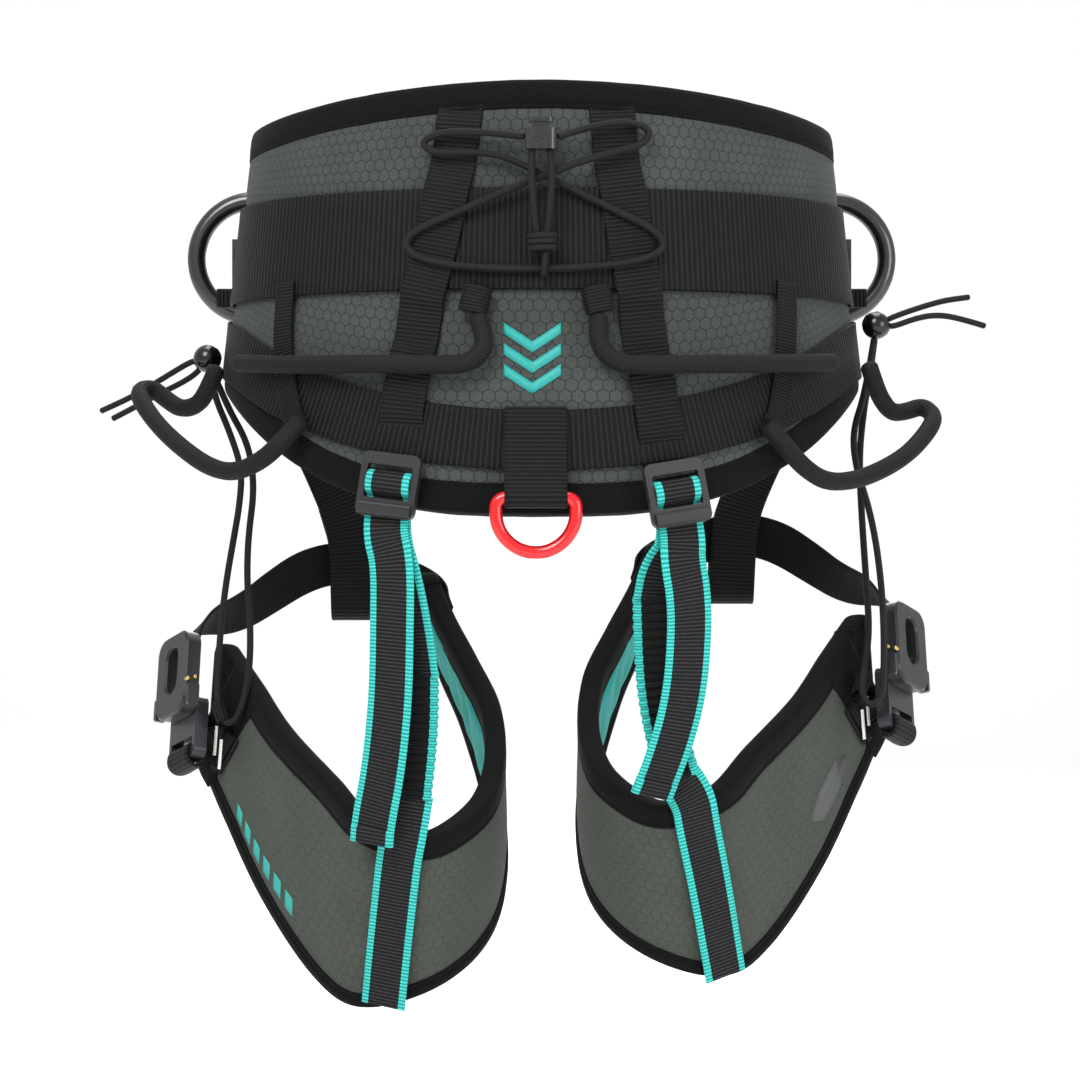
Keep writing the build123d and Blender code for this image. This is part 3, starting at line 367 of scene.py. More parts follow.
coated_ring = hard_finish(
    "black_coated_forged_alloy", "#0b0b0c", "#2a2a2c", 0.3, {"Coat Weight": 0.6, "Coat Roughness": 0.12}, 2.0,
    0.02,
)
red_anodised = hard_finish(
    "red_anodised_aluminium", "#e0141a", "#f04038", 0.24,
    {"Metallic": 0.55, "Coat Weight": 0.7, "Coat Roughness": 0.06}, 3.0, 0.01,
)
buckle_metal = hard_finish(
    "black_anodised_aluminium", "#0c0d0e", "#4a4b50", 0.36,
    {"Metallic": 0.25, "Coat Weight": 0.15, "Specular IOR Level": 0.35}, 0.6, 0.02,
)
acetal = hard_finish(
    "black_moulded_acetal", "#0e0e10", "#303033", 0.4, {"Specular IOR Level": 0.35}, 0.5, 0.03,
)
gloss_acetal = hard_finish(
    "black_polished_acetal", "#060607", "#38383b", 0.2, {"Coat Weight": 0.2, "Specular IOR Level": 0.4}, 1.0,
    0.01,
)
brass = hard_finish("turned_brass", "#b79a5c", "#dcc48b", 0.28, {"Metallic": 1.0}, 0.4, 0.01)

# %% [markdown]
# ## From points to meshes
#
# Every soft piece here is a grid of points: rows along the piece, columns round or across it.
# One function turns such a grid into a closed mesh and writes each point's place on the cloth,
# in millimetres, into the UV map. The weaves above read that map, so a rib stays 3 mm wide
# however the strap bends.

# %% Grid mesh helper
def grid_mesh(name, rows, places, material, closed_ends=False):
    """A closed mesh from rows of points in mm, each row a closed loop. places holds (along, across) in mm.

    With closed_ends the last row joins the first; otherwise both ends are capped.
    """
    count, width = len(rows), len(rows[0])
    points = [p * MM for row in rows for p in row]
    faces = []
    steps = count if closed_ends else count - 1
    for i in range(steps):
        for j in range(width):
            a, b = i * width, ((i + 1) % count) * width
            k = (j + 1) % width
            faces.append((a + j, a + k, b + k, b + j))
    if not closed_ends:
        faces.append(tuple(reversed(range(width))))
        faces.append(tuple(range((count - 1) * width, count * width)))
    mesh = bpy.data.meshes.new(name)
    mesh.from_pydata(points, [], faces)
    layer = mesh.uv_layers.new(name="UVMap")
    flat = [place for row in places for place in row]
    length = max(place[0] for place in flat)
    for loop in mesh.loops:
        layer.data[loop.index].uv = flat[loop.vertex_index]
    if closed_ends:
        for polygon in mesh.polygons:
            spots = [layer.data[i] for i in polygon.loop_indices]
            if max(s.uv[0] for s in spots) - min(s.uv[0] for s in spots) > length / 2:
                for spot in spots:
                    if spot.uv[0] < length / 2:
                        spot.uv[0] += length
    tidy = bmesh.new()
    tidy.from_mesh(mesh)
    bmesh.ops.recalc_face_normals(tidy, faces=tidy.faces)
    tidy.to_mesh(mesh)
    tidy.free()
    mesh.polygons.foreach_set("use_smooth", [True] * len(mesh.polygons))
    mesh.materials.append(material)
    made = bpy.data.objects.new(name, mesh)
    bpy.context.scene.collection.objects.link(made)
    return made


def dress(piece, body, slot, *replaced):
    """Gives a piece its CAD body, or leaves it in place, parented to no body, when it joins two, and hides
    the CAD nodes that it stands for. slot is not used.
    """
    if replaced:
        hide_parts(*replaced)
    if isinstance(body, str):
        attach(piece, body)
    else:
        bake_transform(piece)
    print(piece.name, "has", len(piece.data.polygons), "faces")


def wrinkle(point, size, seed=0.0):
    """Smooth noise from -1 to 1 at a point in mm, with features of that size."""
    return noise.noise(Vector((point[0] / size + seed, point[1] / size, point[2] / size)))


# %% [markdown]
# ## Straps
#
# A strap is a route of its middle line plus, at each point, the direction of its width. Corner
# cutting is the simplest way to smooth such a route: each round replaces a corner by two points
# a quarter of the way along its runs. The route is then walked in even steps, so that the mesh
# rows are even too. A strap's section is a flat slab with rounded, slightly thicker edges, as a
# woven selvedge is.

# %% Strap helpers
def cut_corners(values, rounds=3):
    """Smooths a list of vectors, keeping its two ends."""
    for _ in range(rounds):
        smooth = [values[0]]
        for a, b in zip(values, values[1:]):
            smooth += [a * 0.75 + b * 0.25, a * 0.25 + b * 0.75]
        values = smooth + [values[-1]]
    return values


def walk(points, sides, step):
    """The same route in even steps of about that many mm."""
    total = sum((b - a).length for a, b in zip(points, points[1:]))
    count = max(2, round(total / step))
    found, turned = [], []
    i, passed = 0, 0.0
    for n in range(count + 1):
        target = min(total * n / count, total - 1e-6)
        while passed + (points[i + 1] - points[i]).length < target and i < len(points) - 2:
            passed += (points[i + 1] - points[i]).length
            i += 1
        share = (target - passed) / max((points[i + 1] - points[i]).length, 1e-6)
        found.append(points[i].lerp(points[i + 1], share))
        turned.append(sides[i].lerp(sides[i + 1], share))
    return found, turned


def slab_section(width, thick):
    """A strap's section as (across, out) points: flat faces, rounded and slightly fuller edges."""
    half = width / 2
    round_edge = thick * 0.5
    face = [-1.0, -0.75, -0.5, -0.25, 0.0, 0.25, 0.5, 0.75, 1.0]
    top = [(f * (half - round_edge), thick / 2 + (0.12 if abs(f) == 1 else 0)) for f in face]
    right = [(half - round_edge * 0.3, thick * 0.38), (half, 0), (half - round_edge * 0.3, -thick * 0.38)]
    lower = [(x, -out) for x, out in reversed(top)]
    left = [(-x, -out) for x, out in right]
    return top + right + lower + left


def strap(name, points, sides, width, thick, material, step=2.0, ruffle=None, soft=0.25):
    """A woven strap along points, its width in the direction of sides.

    ruffle is (pitch, height) of gathers in an elastic strap. soft is how far its surface wanders.
    """
    if not isinstance(sides, list):
        sides = [sides] * len(points)
    points, sides = walk(cut_corners(points), cut_corners(sides), step)
    section = slab_section(width, thick)
    rows, places = [], []
    along_mm = 0.0
    for i, point in enumerate(points):
        before, after = points[max(i - 1, 0)], points[min(i + 1, len(points) - 1)]
        tangent = (after - before).normalized()
        side = (sides[i] - tangent * sides[i].dot(tangent)).normalized()
        face = side.cross(tangent)
        if i:
            along_mm += (point - points[i - 1]).length
        lift = soft * wrinkle(point, 22.0, 3.1)
        row = []
        for across, out in section:
            swell, spread = 0.0, 1.0
            if ruffle:
                phase = math.pi * along_mm / ruffle[0] + 0.6 * wrinkle(point + side * across, 9.0)
                swell = ruffle[1] * (abs(math.sin(phase)) - 0.4) * (1 if out > 0 else -1)
                spread = 1.0 + 0.07 * abs(math.sin(phase))
            row.append(point + side * (across * spread) + face * (out + lift + swell))
        rows.append(row)
        places.append([(along_mm, across) for across, _ in section])
    return grid_mesh(name, rows, places, material)


print("points round a strap's section:", len(slab_section(25.0, 1.8)))

# %% [markdown]
# ## Cords
#
# A cord's middle line is a NURBS spline through its route's control points: smooth, with no
# corners, as a braided cord lies. Its points are read back from the spline, and a round section
# is swept along them. The section is turned as little as possible from point to point, so that
# the braid doesn't twist.

# %% Cord helpers
def middle_line(name, route, resolution=8):
    """The points in mm of a NURBS spline that has the route, in mm, as its control points."""
    data = bpy.data.curves.new(name + "_route", "CURVE")
    data.dimensions = "3D"
    spline = data.splines.new("NURBS")
    spline.points.add(len(route) - 1)
    for point, place in zip(spline.points, route):
        point.co = (*(Vector(place) * MM), 1.0)
    spline.order_u = 3
    spline.use_endpoint_u = True
    spline.resolution_u = resolution
    guide = bpy.data.objects.new(name + "_route", data)
    mesh = bpy.data.meshes.new_from_object(guide)
    line = [v.co / MM for v in mesh.vertices]
    bpy.data.meshes.remove(mesh)
    bpy.data.objects.remove(guide)
    bpy.data.curves.remove(data)
    return line


def length_of(line):
    """The length of a line of points."""
    return sum((b - a).length for a, b in zip(line, line[1:]))


def round_cord(name, line, diameter, material, flutes=8, flute_depth=0.03):
    """A cord swept along a line. Its sheath has shallow flutes, and its ends are sealed domes."""
    radius = diameter / 2
    ring = max(16, flutes * 3)
    rows, places = [], []
    tangent = (line[1] - line[0]).normalized()
    side = tangent.orthogonal().normalized()
    passed = 0.0
    last = len(line) - 1
    stops = [(0, 0.35), (0, 0.8)] + [(i, 1.0) for i in range(len(line))] + [(last, 0.8), (last, 0.35)]
    for n, (i, scale) in enumerate(stops):
        before, after = line[max(i - 1, 0)], line[min(i + 1, last)]
        tangent = (after - before).normalized()
        side = (side - tangent * side.dot(tangent)).normalized()
        other = tangent.cross(side)
        if 1 < n < len(stops) - 2 and i:
            passed += (line[i] - line[i - 1]).length
        dome = radius * math.sqrt(1 - scale ** 2) * 0.6
        centre = line[i] + tangent * (-dome if n < 2 else dome)
        row, place = [], []
        for k in range(ring):
            angle = 2 * math.pi * k / ring
            reach = radius * scale * (1 - flute_depth + flute_depth * math.cos(flutes * angle))
            row.append(centre + (side * math.cos(angle) + other * math.sin(angle)) * reach)
            around = angle if k <= ring / 2 else 2 * math.pi - angle
            place.append((passed, around * radius))
        rows.append(row)
        places.append(place)
    return grid_mesh(name, rows, places, material)


straight = middle_line("straight", [(0, 0, 0), (50, 0, 0), (100, 0, 0)])
print("a straight 100 mm route measures", round(length_of(straight), 3), "mm")

# %% [markdown]
# ## The camera, light and floor
#
# The harness stands open as if it were worn, seen square on from the wearer's back and from a
# little below the waist. A long lens keeps its sides parallel. Four large soft boxes light it: the
# key above on the left, a weaker fill on the right, one overhead and one behind, in a bright
# surround, as for a catalogue. Places in this cell are in metres, as Blender has them.

# %% Camera, lights and floor
camera_data = bpy.data.cameras.new("camera")
camera_data.lens = 100.6
camera_data.sensor_width = 36.0
camera = bpy.data.objects.new("camera", camera_data)
camera.location = (-0.001, -1.724, -0.160)
camera.rotation_euler = (math.radians(90), 0, 0)
bpy.context.scene.collection.objects.link(camera)
bpy.context.scene.camera = camera


def soft_box(name, place, target, size, watts):
    """A square area light that faces a target."""
    data = bpy.data.lights.new(name, "AREA")
    data.shape = "SQUARE"
    data.size = size
    data.energy = watts
    light = bpy.data.objects.new(name, data)
    light.location = place
    light.rotation_euler = (Vector(target) - Vector(place)).to_track_quat("-Z", "Y").to_euler()
    bpy.context.scene.collection.objects.link(light)


middle = (0, 0, -0.16)
soft_box("key_box", (-0.7, -1.7, 1.3), middle, 1.1, 42)
soft_box("fill_box", (1.5, -1.3, 0.2), middle, 1.0, 14)
soft_box("top_box", (0.1, 0.3, 1.5), middle, 1.2, 22)
soft_box("back_box", (0.3, 1.9, 0.7), middle, 1.4, 16)

world = bpy.data.worlds.new("studio")
world.use_nodes = True
world.node_tree.nodes["Background"].inputs[0].default_value = colour("#ffffff")
world.node_tree.nodes["Background"].inputs[1].default_value = 0.8
bpy.context.scene.world = world
bpy.context.scene.view_settings.view_transform = "Standard"

floor_depth = cad_box[0][2] - 0.07
sweep = [(y, floor_depth) for y in (-3.0, -1.0, 1.0, 2.2)]
turns = [math.pi / 16 * n for n in range(1, 9)]
sweep += [(2.2 + math.sin(a), floor_depth + 1.0 - math.cos(a)) for a in turns]
sweep.append((3.2, 3.5))
floor_mesh = bpy.data.meshes.new("studio_floor")
floor_points = [(x, y, z) for y, z in sweep for x in (-4.0, 4.0)]
floor_faces = [(2 * i, 2 * i + 1, 2 * i + 3, 2 * i + 2) for i in range(len(sweep) - 1)]
floor_mesh.from_pydata(floor_points, [], floor_faces)
floor_mesh.polygons.foreach_set("use_smooth", [True] * len(floor_mesh.polygons))
floor = bpy.data.objects.new("studio_floor", floor_mesh)
floor_paint, _, _ = new_material("pale_studio_paper", "#f4f4f3", 0.9)
floor_mesh.materials.append(floor_paint)
bpy.context.scene.collection.objects.link(floor)
print("lens", round(camera_data.lens, 1), "mm, floor at", round(floor_depth / MM), "mm")

# %% [markdown]
# ## The shape of the waist pad
#
# The pad is an oval shell that flares towards the hips. These few sizes are the same as the CAD
# model's. Everything sewn to the pad is placed over it: how far round, how high, and how far out.

# %% Places on the waist pad
waist_side, waist_back, flare = 171.0, 123.0, 0.11
pad_end = 118.0
pad_top_back, pad_top_side = 84.5, 68.5
pad_low_back, pad_low_side = 145.0, 73.0
pad_front_taper = 20.0
pad_thick = 14.0
first_layer, third_layer = 1.9, 6.1      # how far out a first and a third layer of webbing start
lay = 0.3                                # what is left between things that lie on each other
web_thick = 1.8
half_web = web_thick / 2
strap_wide = 25.0


def on_pad(turn, z, out=0.0):
    """A point over the waist pad, turn degrees round from the middle of the back."""
    angle = math.radians(turn)
    side = waist_side - flare * z + out
    back = waist_back - flare * z + out
    return Vector((side * math.sin(angle), -back * math.cos(angle), z))


def turn_at(x, z):
    """How many degrees round the pad a place x mm from the middle of the back is."""
    return math.degrees(math.asin(x / (waist_side - flare * z)))


def over_pad(x, z, out=0.0):
    """A point over the back of the pad, x mm from its middle."""
    return on_pad(turn_at(x, z), z, out)


def pad_outward(turn, z):
    """The direction that faces away from the pad."""
    side, back = waist_side - flare * z, waist_back - flare * z
    x, y = math.sin(math.radians(turn)), -math.cos(math.radians(turn))
    return Vector((x / side, y / back, flare * (x * x / side + y * y / back))).normalized()


def pad_edge(turn, upper):
    """Height of the pad's upper or lower edge."""
    share = math.sin(math.radians(min(abs(turn), 90)))
    front = pad_front_taper * max(0.0, (abs(turn) - 90) / (pad_end - 90)) ** 2
    if upper:
        return pad_top_back - (pad_top_back - pad_top_side) * share ** 2 - front
    return -pad_low_back + (pad_low_back - pad_low_side) * share ** 3 + front


# %% [markdown]
# ## Padded faces
#
# A pad is laminated foam: an outer cloth, foam and a lining, cut to shape and bound round its
# edge. Two closed slabs make it, one for the outer face and one for the lining, each with rounded
# corners. The cloth is held down by the binding and swells a little towards the middle of
# each open field, so the outer face rises by a smooth amount away from the edges and where no
# webbing presses on it. The same function serves the waist pad and both leg pads.

# %% Pad helpers
def corner_inset(distance, radius):
    """How far a rounded corner draws the edge in, at a distance from the pad's end."""
    return 0.0 if distance >= radius else radius - math.sqrt(radius ** 2 - (radius - distance) ** 2)


def ease(value):
    """0 to 1 with soft ends."""
    value = min(max(value, 0.0), 1.0)
    return value * value * (3 - 2 * value)


def pad_slab(name, place, size, counts, corner, swell, outer, inner, material):
    """A closed slab of a pad. place(a, b, out) gives its points in mm, with a and b from 0 to 1.

    size is its length and height in mm, counts its rows and columns, and swell(a, b) how far the
    outer face rises.
    """
    length, height = size
    rows, places = [], []
    for i in range(counts[0] + 1):
        a = i / counts[0]
        inset = corner_inset(min(a, 1 - a) * length, corner) / height
        face = [inset + (1 - 2 * inset) * j / counts[1] for j in range(counts[1] + 1)]
        front = [place(a, b, outer + swell(a, b)) for b in face]
        back = [place(a, b, inner) for b in reversed(face)]
        rows.append(front + back)
        places.append([(a * length, b * height) for b in face + face[::-1]])
    return grid_mesh(name, rows, places, material)


print("a 14 mm corner draws its end in by", corner_inset(0, 14.0), "mm")

# %% [markdown]
# ## Bindings
#
# A binding is tape folded over a raw edge and sewn through, which leaves a groove along both of its
# edges. A bevelled curve could follow the edge, but it would be a plain tube. Here the tape's
# folded section is swept round the pad's outline, and turned to face the pad at every step.

# %% Binding helpers
def outline(size, corner, counts):
    """Places (a, b) round the edge of a pad, with rounded corners, in one closed loop."""
    length, height = size
    turn = [0.5 - 0.5 * math.cos(math.pi * i / counts[0]) for i in range(counts[0] + 1)]
    even = [i / counts[0] for i in range(counts[0] + 1)]
    run = [0.6 * e + 0.4 * t for e, t in zip(even, turn)]
    edge = [corner_inset(min(a, 1 - a) * length, corner) / height for a in run]
    upper = [(a, 1 - inset) for a, inset in zip(run, edge)]
    lower = [(a, inset) for a, inset in zip(run, edge)]
    ends = [i / counts[1] for i in range(1, counts[1])]
    low, high = corner / height, 1 - corner / height
    last = [(1.0, high + (low - high) * e) for e in ends]
    first = [(0.0, low + (high - low) * e) for e in ends]
    return upper + last + lower[::-1] + first


def tape_section(width, thick, depth):
    """The section of a folded tape, as (out, inward) points, with a sewn groove along each leg."""
    leg = [
        (0.0, width), (thick * 0.8, width - 0.4), (thick, width - 1.8), (thick * 0.6, width - 2.6),
        (thick, width - 3.4), (thick * 1.15, width * 0.5), (thick * 1.1, 2.0), (thick * 0.75, -thick * 0.55),
        (-depth * 0.12, -thick * 0.95),
    ]
    return leg + [(-depth * 0.5, -thick * 1.1)] + [(-depth - out, inward) for out, inward in reversed(leg)]


def binding(name, place, places_ab, width_at, thick, depth, material):
    """Soft tape folded over a pad's edge, all the way round it. width_at(a, b) is how far it reaches in."""
    step = 0.002
    centre = [place(a, b, 0) for a, b in places_ab]
    count = len(centre)
    across_mm = [0.0]
    for (out_a, in_a), (out_b, in_b) in zip(
        tape_section(12, thick, depth), tape_section(12, thick, depth)[1:],
    ):
        across_mm.append(across_mm[-1] + math.hypot(out_b - out_a, in_b - in_a))
    rows, places = [], []
    passed = 0.0
    flip_sign = None
    for i, (a, b) in enumerate(places_ab):
        tangent = (centre[(i + 1) % count] - centre[i - 1]).normalized()
        low_a, high_a = max(a - step, 0), min(a + step, 1)
        low_b, high_b = max(b - step, 0), min(b + step, 1)
        along_pad = place(high_a, b, 0) - place(low_a, b, 0)
        up_pad = place(a, high_b, 0) - place(a, low_b, 0)
        normal = along_pad.cross(up_pad).normalized()
        if normal.dot(place(a, b, 5) - centre[i]) < 0:
            normal = -normal
        inward = normal.cross(tangent).normalized()
        if flip_sign is None:
            inner_point = place(0.5 * a + 0.25, 0.5 * b + 0.25, 0)
            flip_sign = 1 if inward.dot(inner_point - centre[i]) > 0 else -1
        inward = inward * flip_sign
        if i:
            passed += (centre[i] - centre[i - 1]).length
        row = []
        for out, reach in tape_section(width_at(a, b), thick, depth):
            give = 0.35 * wrinkle(centre[i] + normal * out, 13.0, 7.7)
            row.append(
                centre[i] + normal * (out + give * (0.5 if out > 0 else -0.5)) + inward * (reach + give * 0.8)
            )
        rows.append(row)
        places.append([(passed, v) for v in across_mm])
    return grid_mesh(name, rows, places, material, closed_ends=True)


print("points round a tape's section:", len(tape_section(12, 1.6, 14.0)))

# %% [markdown]
# ## The waist pad
#
# The waist pad wraps the back and hips. Its outer face swells between the webbings and is pressed
# flat under them. The lining is a second slab behind it, in spacer mesh with sewn channels, and
# the binding closes the edge. A cloth simulation could puff up the fields, but it would move the
# weave and the sewn straps too, so the swell is a formula that knows where each strap presses.

# %% Waist pad, lining and binding
waist_size = (640.0, 190.0)
waist_tape_wide, waist_tape_thick = 15.0, 1.6


def waist_place(a, b, out):
    """A point of the waist pad: a from its left end to its right end, b from its lower to its upper edge."""
    turn = -pad_end + 2 * pad_end * a
    low, high = pad_edge(turn, False), pad_edge(turn, True)
    return on_pad(turn, low + (high - low) * b, out)


def waist_swell(a, b):
    """The outer face rises in its open fields, and lies low at the binding and under the webbing."""
    point = waist_place(a, b, 0)
    edge = ease(min(b, 1 - b) / 0.12)
    webbing = ease((abs(point.z) - 24) / 16)
    field = 1.5 * edge * (0.25 + 0.75 * webbing)
    return field * (0.75 + 0.35 * wrinkle(point, 38.0)) + 0.18 * wrinkle(point, 14.0, 2.0)


def lining_swell(a, b):
    """The lining is slightly uneven. Its channels are made by lining_place."""
    return -0.2 + 0.25 * wrinkle(waist_place(a, b, 0), 20.0)


waist_pad = pad_slab(
    "waist_pad_cover", waist_place, waist_size, (220, 60), 14.0, waist_swell, 0.0, -7.0, waist_fabric,
)
dress(waist_pad, "waist", "grey_fabric", "waist_pad_shell", "waist_pad_foam")


def lining_place(a, b, out):
    """A point of the lining, measured inwards from the pad's inner face, in sewn upright channels."""
    channel = abs(math.sin(math.pi * a * 22))
    sunk = 0.0 if out < 0 else 1.2 - 1.2 * channel * ease(min(b, 1 - b) / 0.14)
    return waist_place(a, b, -pad_thick - out + sunk)


waist_liner = pad_slab(
    "waist_pad_mesh_lining", lining_place, waist_size, (264, 30), 14.0, lining_swell, 0.0, -7.0, waist_lining,
)
dress(waist_liner, "waist", "mesh_lining", "waist_pad_lining")

waist_rim = binding(
    "waist_binding_tape", waist_place, outline(waist_size, 14.0, (240, 24)), lambda a, b: waist_tape_wide,
    waist_tape_thick, pad_thick, binding_tape,
)
dress(waist_rim, "waist", "black_binding", "waist_binding")

# %% [markdown]
# ## Webbing sewn to the waist pad
#
# The wide waist webbing carries the load round the pad. Below it the hip webbing dips at the back
# and ends at the front rings. Two straps run down the back over both, and sink between them, as
# webbing pulled tight over an edge does. Their tops go in under the binding. A Shrinkwrap modifier
# could lay them on the pad. Here each place is given as an angle, a height and a distance out, so
# that layers which lie on each other never touch.

# %% Pad straps
def curve_at(points, u):
    """A smooth curve through points, at u counted in points."""
    i = min(max(int(u), 0), len(points) - 2)
    t = u - i
    p1, p2 = Vector(points[i]), Vector(points[i + 1])
    p0 = Vector(points[i - 1]) if i else p1 * 2 - p2
    p3 = Vector(points[i + 2]) if i + 2 < len(points) else p2 * 2 - p1
    bend = (p0 * 2 - p1 * 5 + p2 * 4 - p3) * t ** 2
    return (p1 * 2 + (p2 - p0) * t + bend + (p1 * 3 - p0 - p2 * 3 + p3) * t ** 3) * 0.5


def along_curve(points, count):
    """count + 1 points on the smooth curve through points."""
    return [curve_at(points, (len(points) - 1) * i / count) for i in range(count + 1)]


def pad_strap(name, places, width, material):
    """Webbing sewn over the waist pad through (turn, z, out) places."""
    points = [on_pad(*place) for place in places]
    sides = []
    for i, place in enumerate(places):
        run = points[min(i + 1, len(points) - 1)] - points[max(i - 1, 0)]
        sides.append(run.cross(pad_outward(place[0], place[1])).normalized())
    return strap(name, points, sides, width, web_thick, material)


waist_web_end = 119.3
waist_turns = [waist_web_end * (i / 60 - 1) for i in range(121)]
waist_band = pad_strap(
    "waist_webbing_band", [(t, 0.0, first_layer + half_web) for t in waist_turns], 55.0, waist_webbing_cloth,
)
dress(waist_band, "waist", "black_webbing", "waist_webbing")

hip_line = [
    (0, -107.4), (17.2, -104), (34.7, -92.6), (49.5, -78.5), (59.5, -68), (71.8, -57.5), (90, -51),
    (108, -51.5), (130.2, -52),
]
hip_whole = [(-t, z, 0) for t, z in reversed(hip_line[1:])] + [(t, z, 0) for t, z in hip_line]
hip_places = [(p.x, p.y, first_layer + half_web) for p in along_curve(hip_whole, 100)]
hip_band = pad_strap("hip_webbing_band", hip_places, 32.0, waist_webbing_cloth)
dress(hip_band, "waist", "black_webbing", "hip_webbing")


def over_webbing(x, z):
    """How far out a back strap runs at a place: over each webbing, and nearer the pad between them."""
    hip_z = -107.4 + 0.0062 * x * x
    over_waist = ease((40 - abs(z)) / 11)
    over_hip = ease((28 - abs(z - hip_z)) / 11)
    under_binding = ease((z - 62) / 9)
    return 2.1 + 2.8 * max(over_waist, over_hip) - 2.0 * under_binding


back_lines = {
    "left": [
        (-42.2, 80), (-46.4, 42.7), (-54.3, 0), (-62.2, -32.3), (-66.5, -59), (-71.5, -86), (-75.5, -118),
    ],
    "right": [(36.3, 80), (39.4, 42.5), (45.7, 0), (51, -32.6), (54.6, -59.3), (58.8, -86), (64.5, -120)],
}
for side, line in back_lines.items():
    spots = along_curve([(x, z, 0) for x, z in line], 60)
    places = [(turn_at(p.x, p.y), p.y, over_webbing(p.x, p.y)) for p in spots]
    band = pad_strap("back_strap_band_" + side, places, strap_wide, strap_cloth)
    dress(band, "waist", "black_webbing", "back_strap_" + side)

# %% [markdown]
# ## Ring loops, keepers and drop straps
#
# Each ring hangs in a fold of webbing: the strap goes round the bar and is sewn to itself. The
# rear gear loops end in short ribbed sleeves, and the side gear loops hang from narrow straps.
# All are made by the strap function, because a fold is only a route that turns back on itself.

# %% Small webbing fittings
side_rod, front_rod = 5.5, 4.5
side_bar = on_pad(124.0, 7.0, first_layer + half_web)
front_bar = on_pad(134.0, -52.0, first_layer + half_web)
fold_gap = 1.3              # from a rod to the middle of the webbing round it


def fold_round(name, bar, radius, inward, height):
    """Webbing that comes from inward, goes round an upright bar and back again."""
    inward = Vector((inward.x, inward.y, 0)).normalized()
    across = Vector((-inward.y, inward.x, 0))
    route = [bar + inward * 15 + across * 1.2, bar + inward * (radius + 1) + across * (radius * 0.62)]
    for step in range(7):
        angle = math.radians(55 + 250 * step / 6)
        route.append(bar + (inward * math.cos(angle) + across * math.sin(angle)) * radius)
    route += [bar + inward * (radius + 1) - across * (radius * 0.62), bar + inward * 15 - across * 1.2]
    return strap(name, route, Vector((0, 0, 1)), height, web_thick, strap_cloth, step=1.2, soft=0.1)


fittings = []
for side, name in ((-1, "left"), (1, "right")):
    for bar, rod, height, turn, z, kind in (
        (side_bar, side_rod, 45.0, waist_web_end, 7.0, "side"),
        (front_bar, front_rod, 24.0, 126.0, -52.0, "front"),
    ):
        centre = Vector((side * bar.x, bar.y, bar.z))
        sewn_at = on_pad(side * turn, z, first_layer + half_web)
        fittings.append(
            fold_round(f"{kind}_ring_fold_{name}", centre, rod + fold_gap, sewn_at - centre, height)
        )

for name, x, z, lean in (("left", -33.5, -33.0, -12), ("right", 28.0, -33.0, 12)):
    turn = turn_at(x, z)
    outward = pad_outward(turn, z)
    level = Vector((-outward.y, outward.x, 0)).normalized()
    up = outward.cross(level)
    lean = math.radians(lean)
    across = level * math.cos(lean) + up * math.sin(lean)
    upward = up * math.cos(lean) - level * math.sin(lean)
    centre = on_pad(turn, z, 8.4)
    sleeve = [centre + upward * reach for reach in (-7.0, -5.0, 0.0, 5.0, 7.0)]
    fittings.append(
        strap("gear_loop_sleeve_" + name, sleeve, across, 16.0, 8.6, fine_cloth, step=0.8, soft=0.2)
    )
for name, high, low in (("left", -135.8, -131.5), ("right", 129.5, 124.0)):
    line = [(high, -20), (high - 1, -56), (low, -91), (low - (4 if low > 0 else -4), -99)]
    places = [(turn_at(p.x, p.y), p.y, 4.9) for p in along_curve([(x, z, 0) for x, z in line], 30)]
    fittings.append(pad_strap("gear_loop_drop_strap_" + name, places, 14.0, fine_cloth))
for piece in fittings:
    dress(piece, "waist", "black_webbing", "webbing_loops")

# %% [markdown]
# ## Rear tab and belt wings
#
# A wide tab runs down the middle of the back, round the rear ring's bar and up again behind itself.
# At each side a short flap of pad cloth and a stub of webbing stand out past the pad, beside the
# side ring. They are flat straps, so the strap function makes these too.

# %% Rear tab and wings
rear_bar = over_pad(-3.0, -138.0, 8.3)
tab_route = [
    over_pad(-3, -90, 4.6), over_pad(-3, -98, 5.4), over_pad(-3, -112, 7.4), over_pad(-3, -126, 10.6),
]
for step in range(7):
    angle = math.radians(25 - 215 * step / 6)
    tab_route.append(rear_bar + Vector((0, -math.cos(angle), math.sin(angle))) * 4.9)
tab_route += [over_pad(-3, -128, 4.6), over_pad(-3, -116, 4.4), over_pad(-3, -100, 4.2)]
tab = strap("rear_ring_webbing_tab", tab_route, Vector((1, 0, 0)), 33.0, web_thick, strap_cloth, step=1.2)
dress(tab, "waist", "black_webbing", "rear_ring_tab")

for side, name in ((-1, "left"), (1, "right")):
    for height, middle_z, reach, cloth, slot, kind in (
        (27.0, 2.5, 181.0, waist_fabric, "grey_fabric", "flap"),
        (11.0, -18.5, 190.0, strap_cloth, "black_webbing", "stub"),
    ):
        route = [Vector((side * x, 41.5, middle_z)) for x in (168, 174, 180, reach)]
        wing = strap(f"wing_{kind}_{name}", route, Vector((0.12 * side, 0, 1)), height, 2.4, cloth, step=1.5)
        dress(wing, "waist", slot, "wing_tabs")

# %% [markdown]
# ## Gear loops
#
# A gear loop is a stiff tube in a braided sheath, bent so that it stands off the pad and a
# carabiner drops over it easily. The routes are the CAD model's own, as control points. A curve
# with a round bevel could be the tube, but a swept mesh can have the sheath's flutes and a UV map.

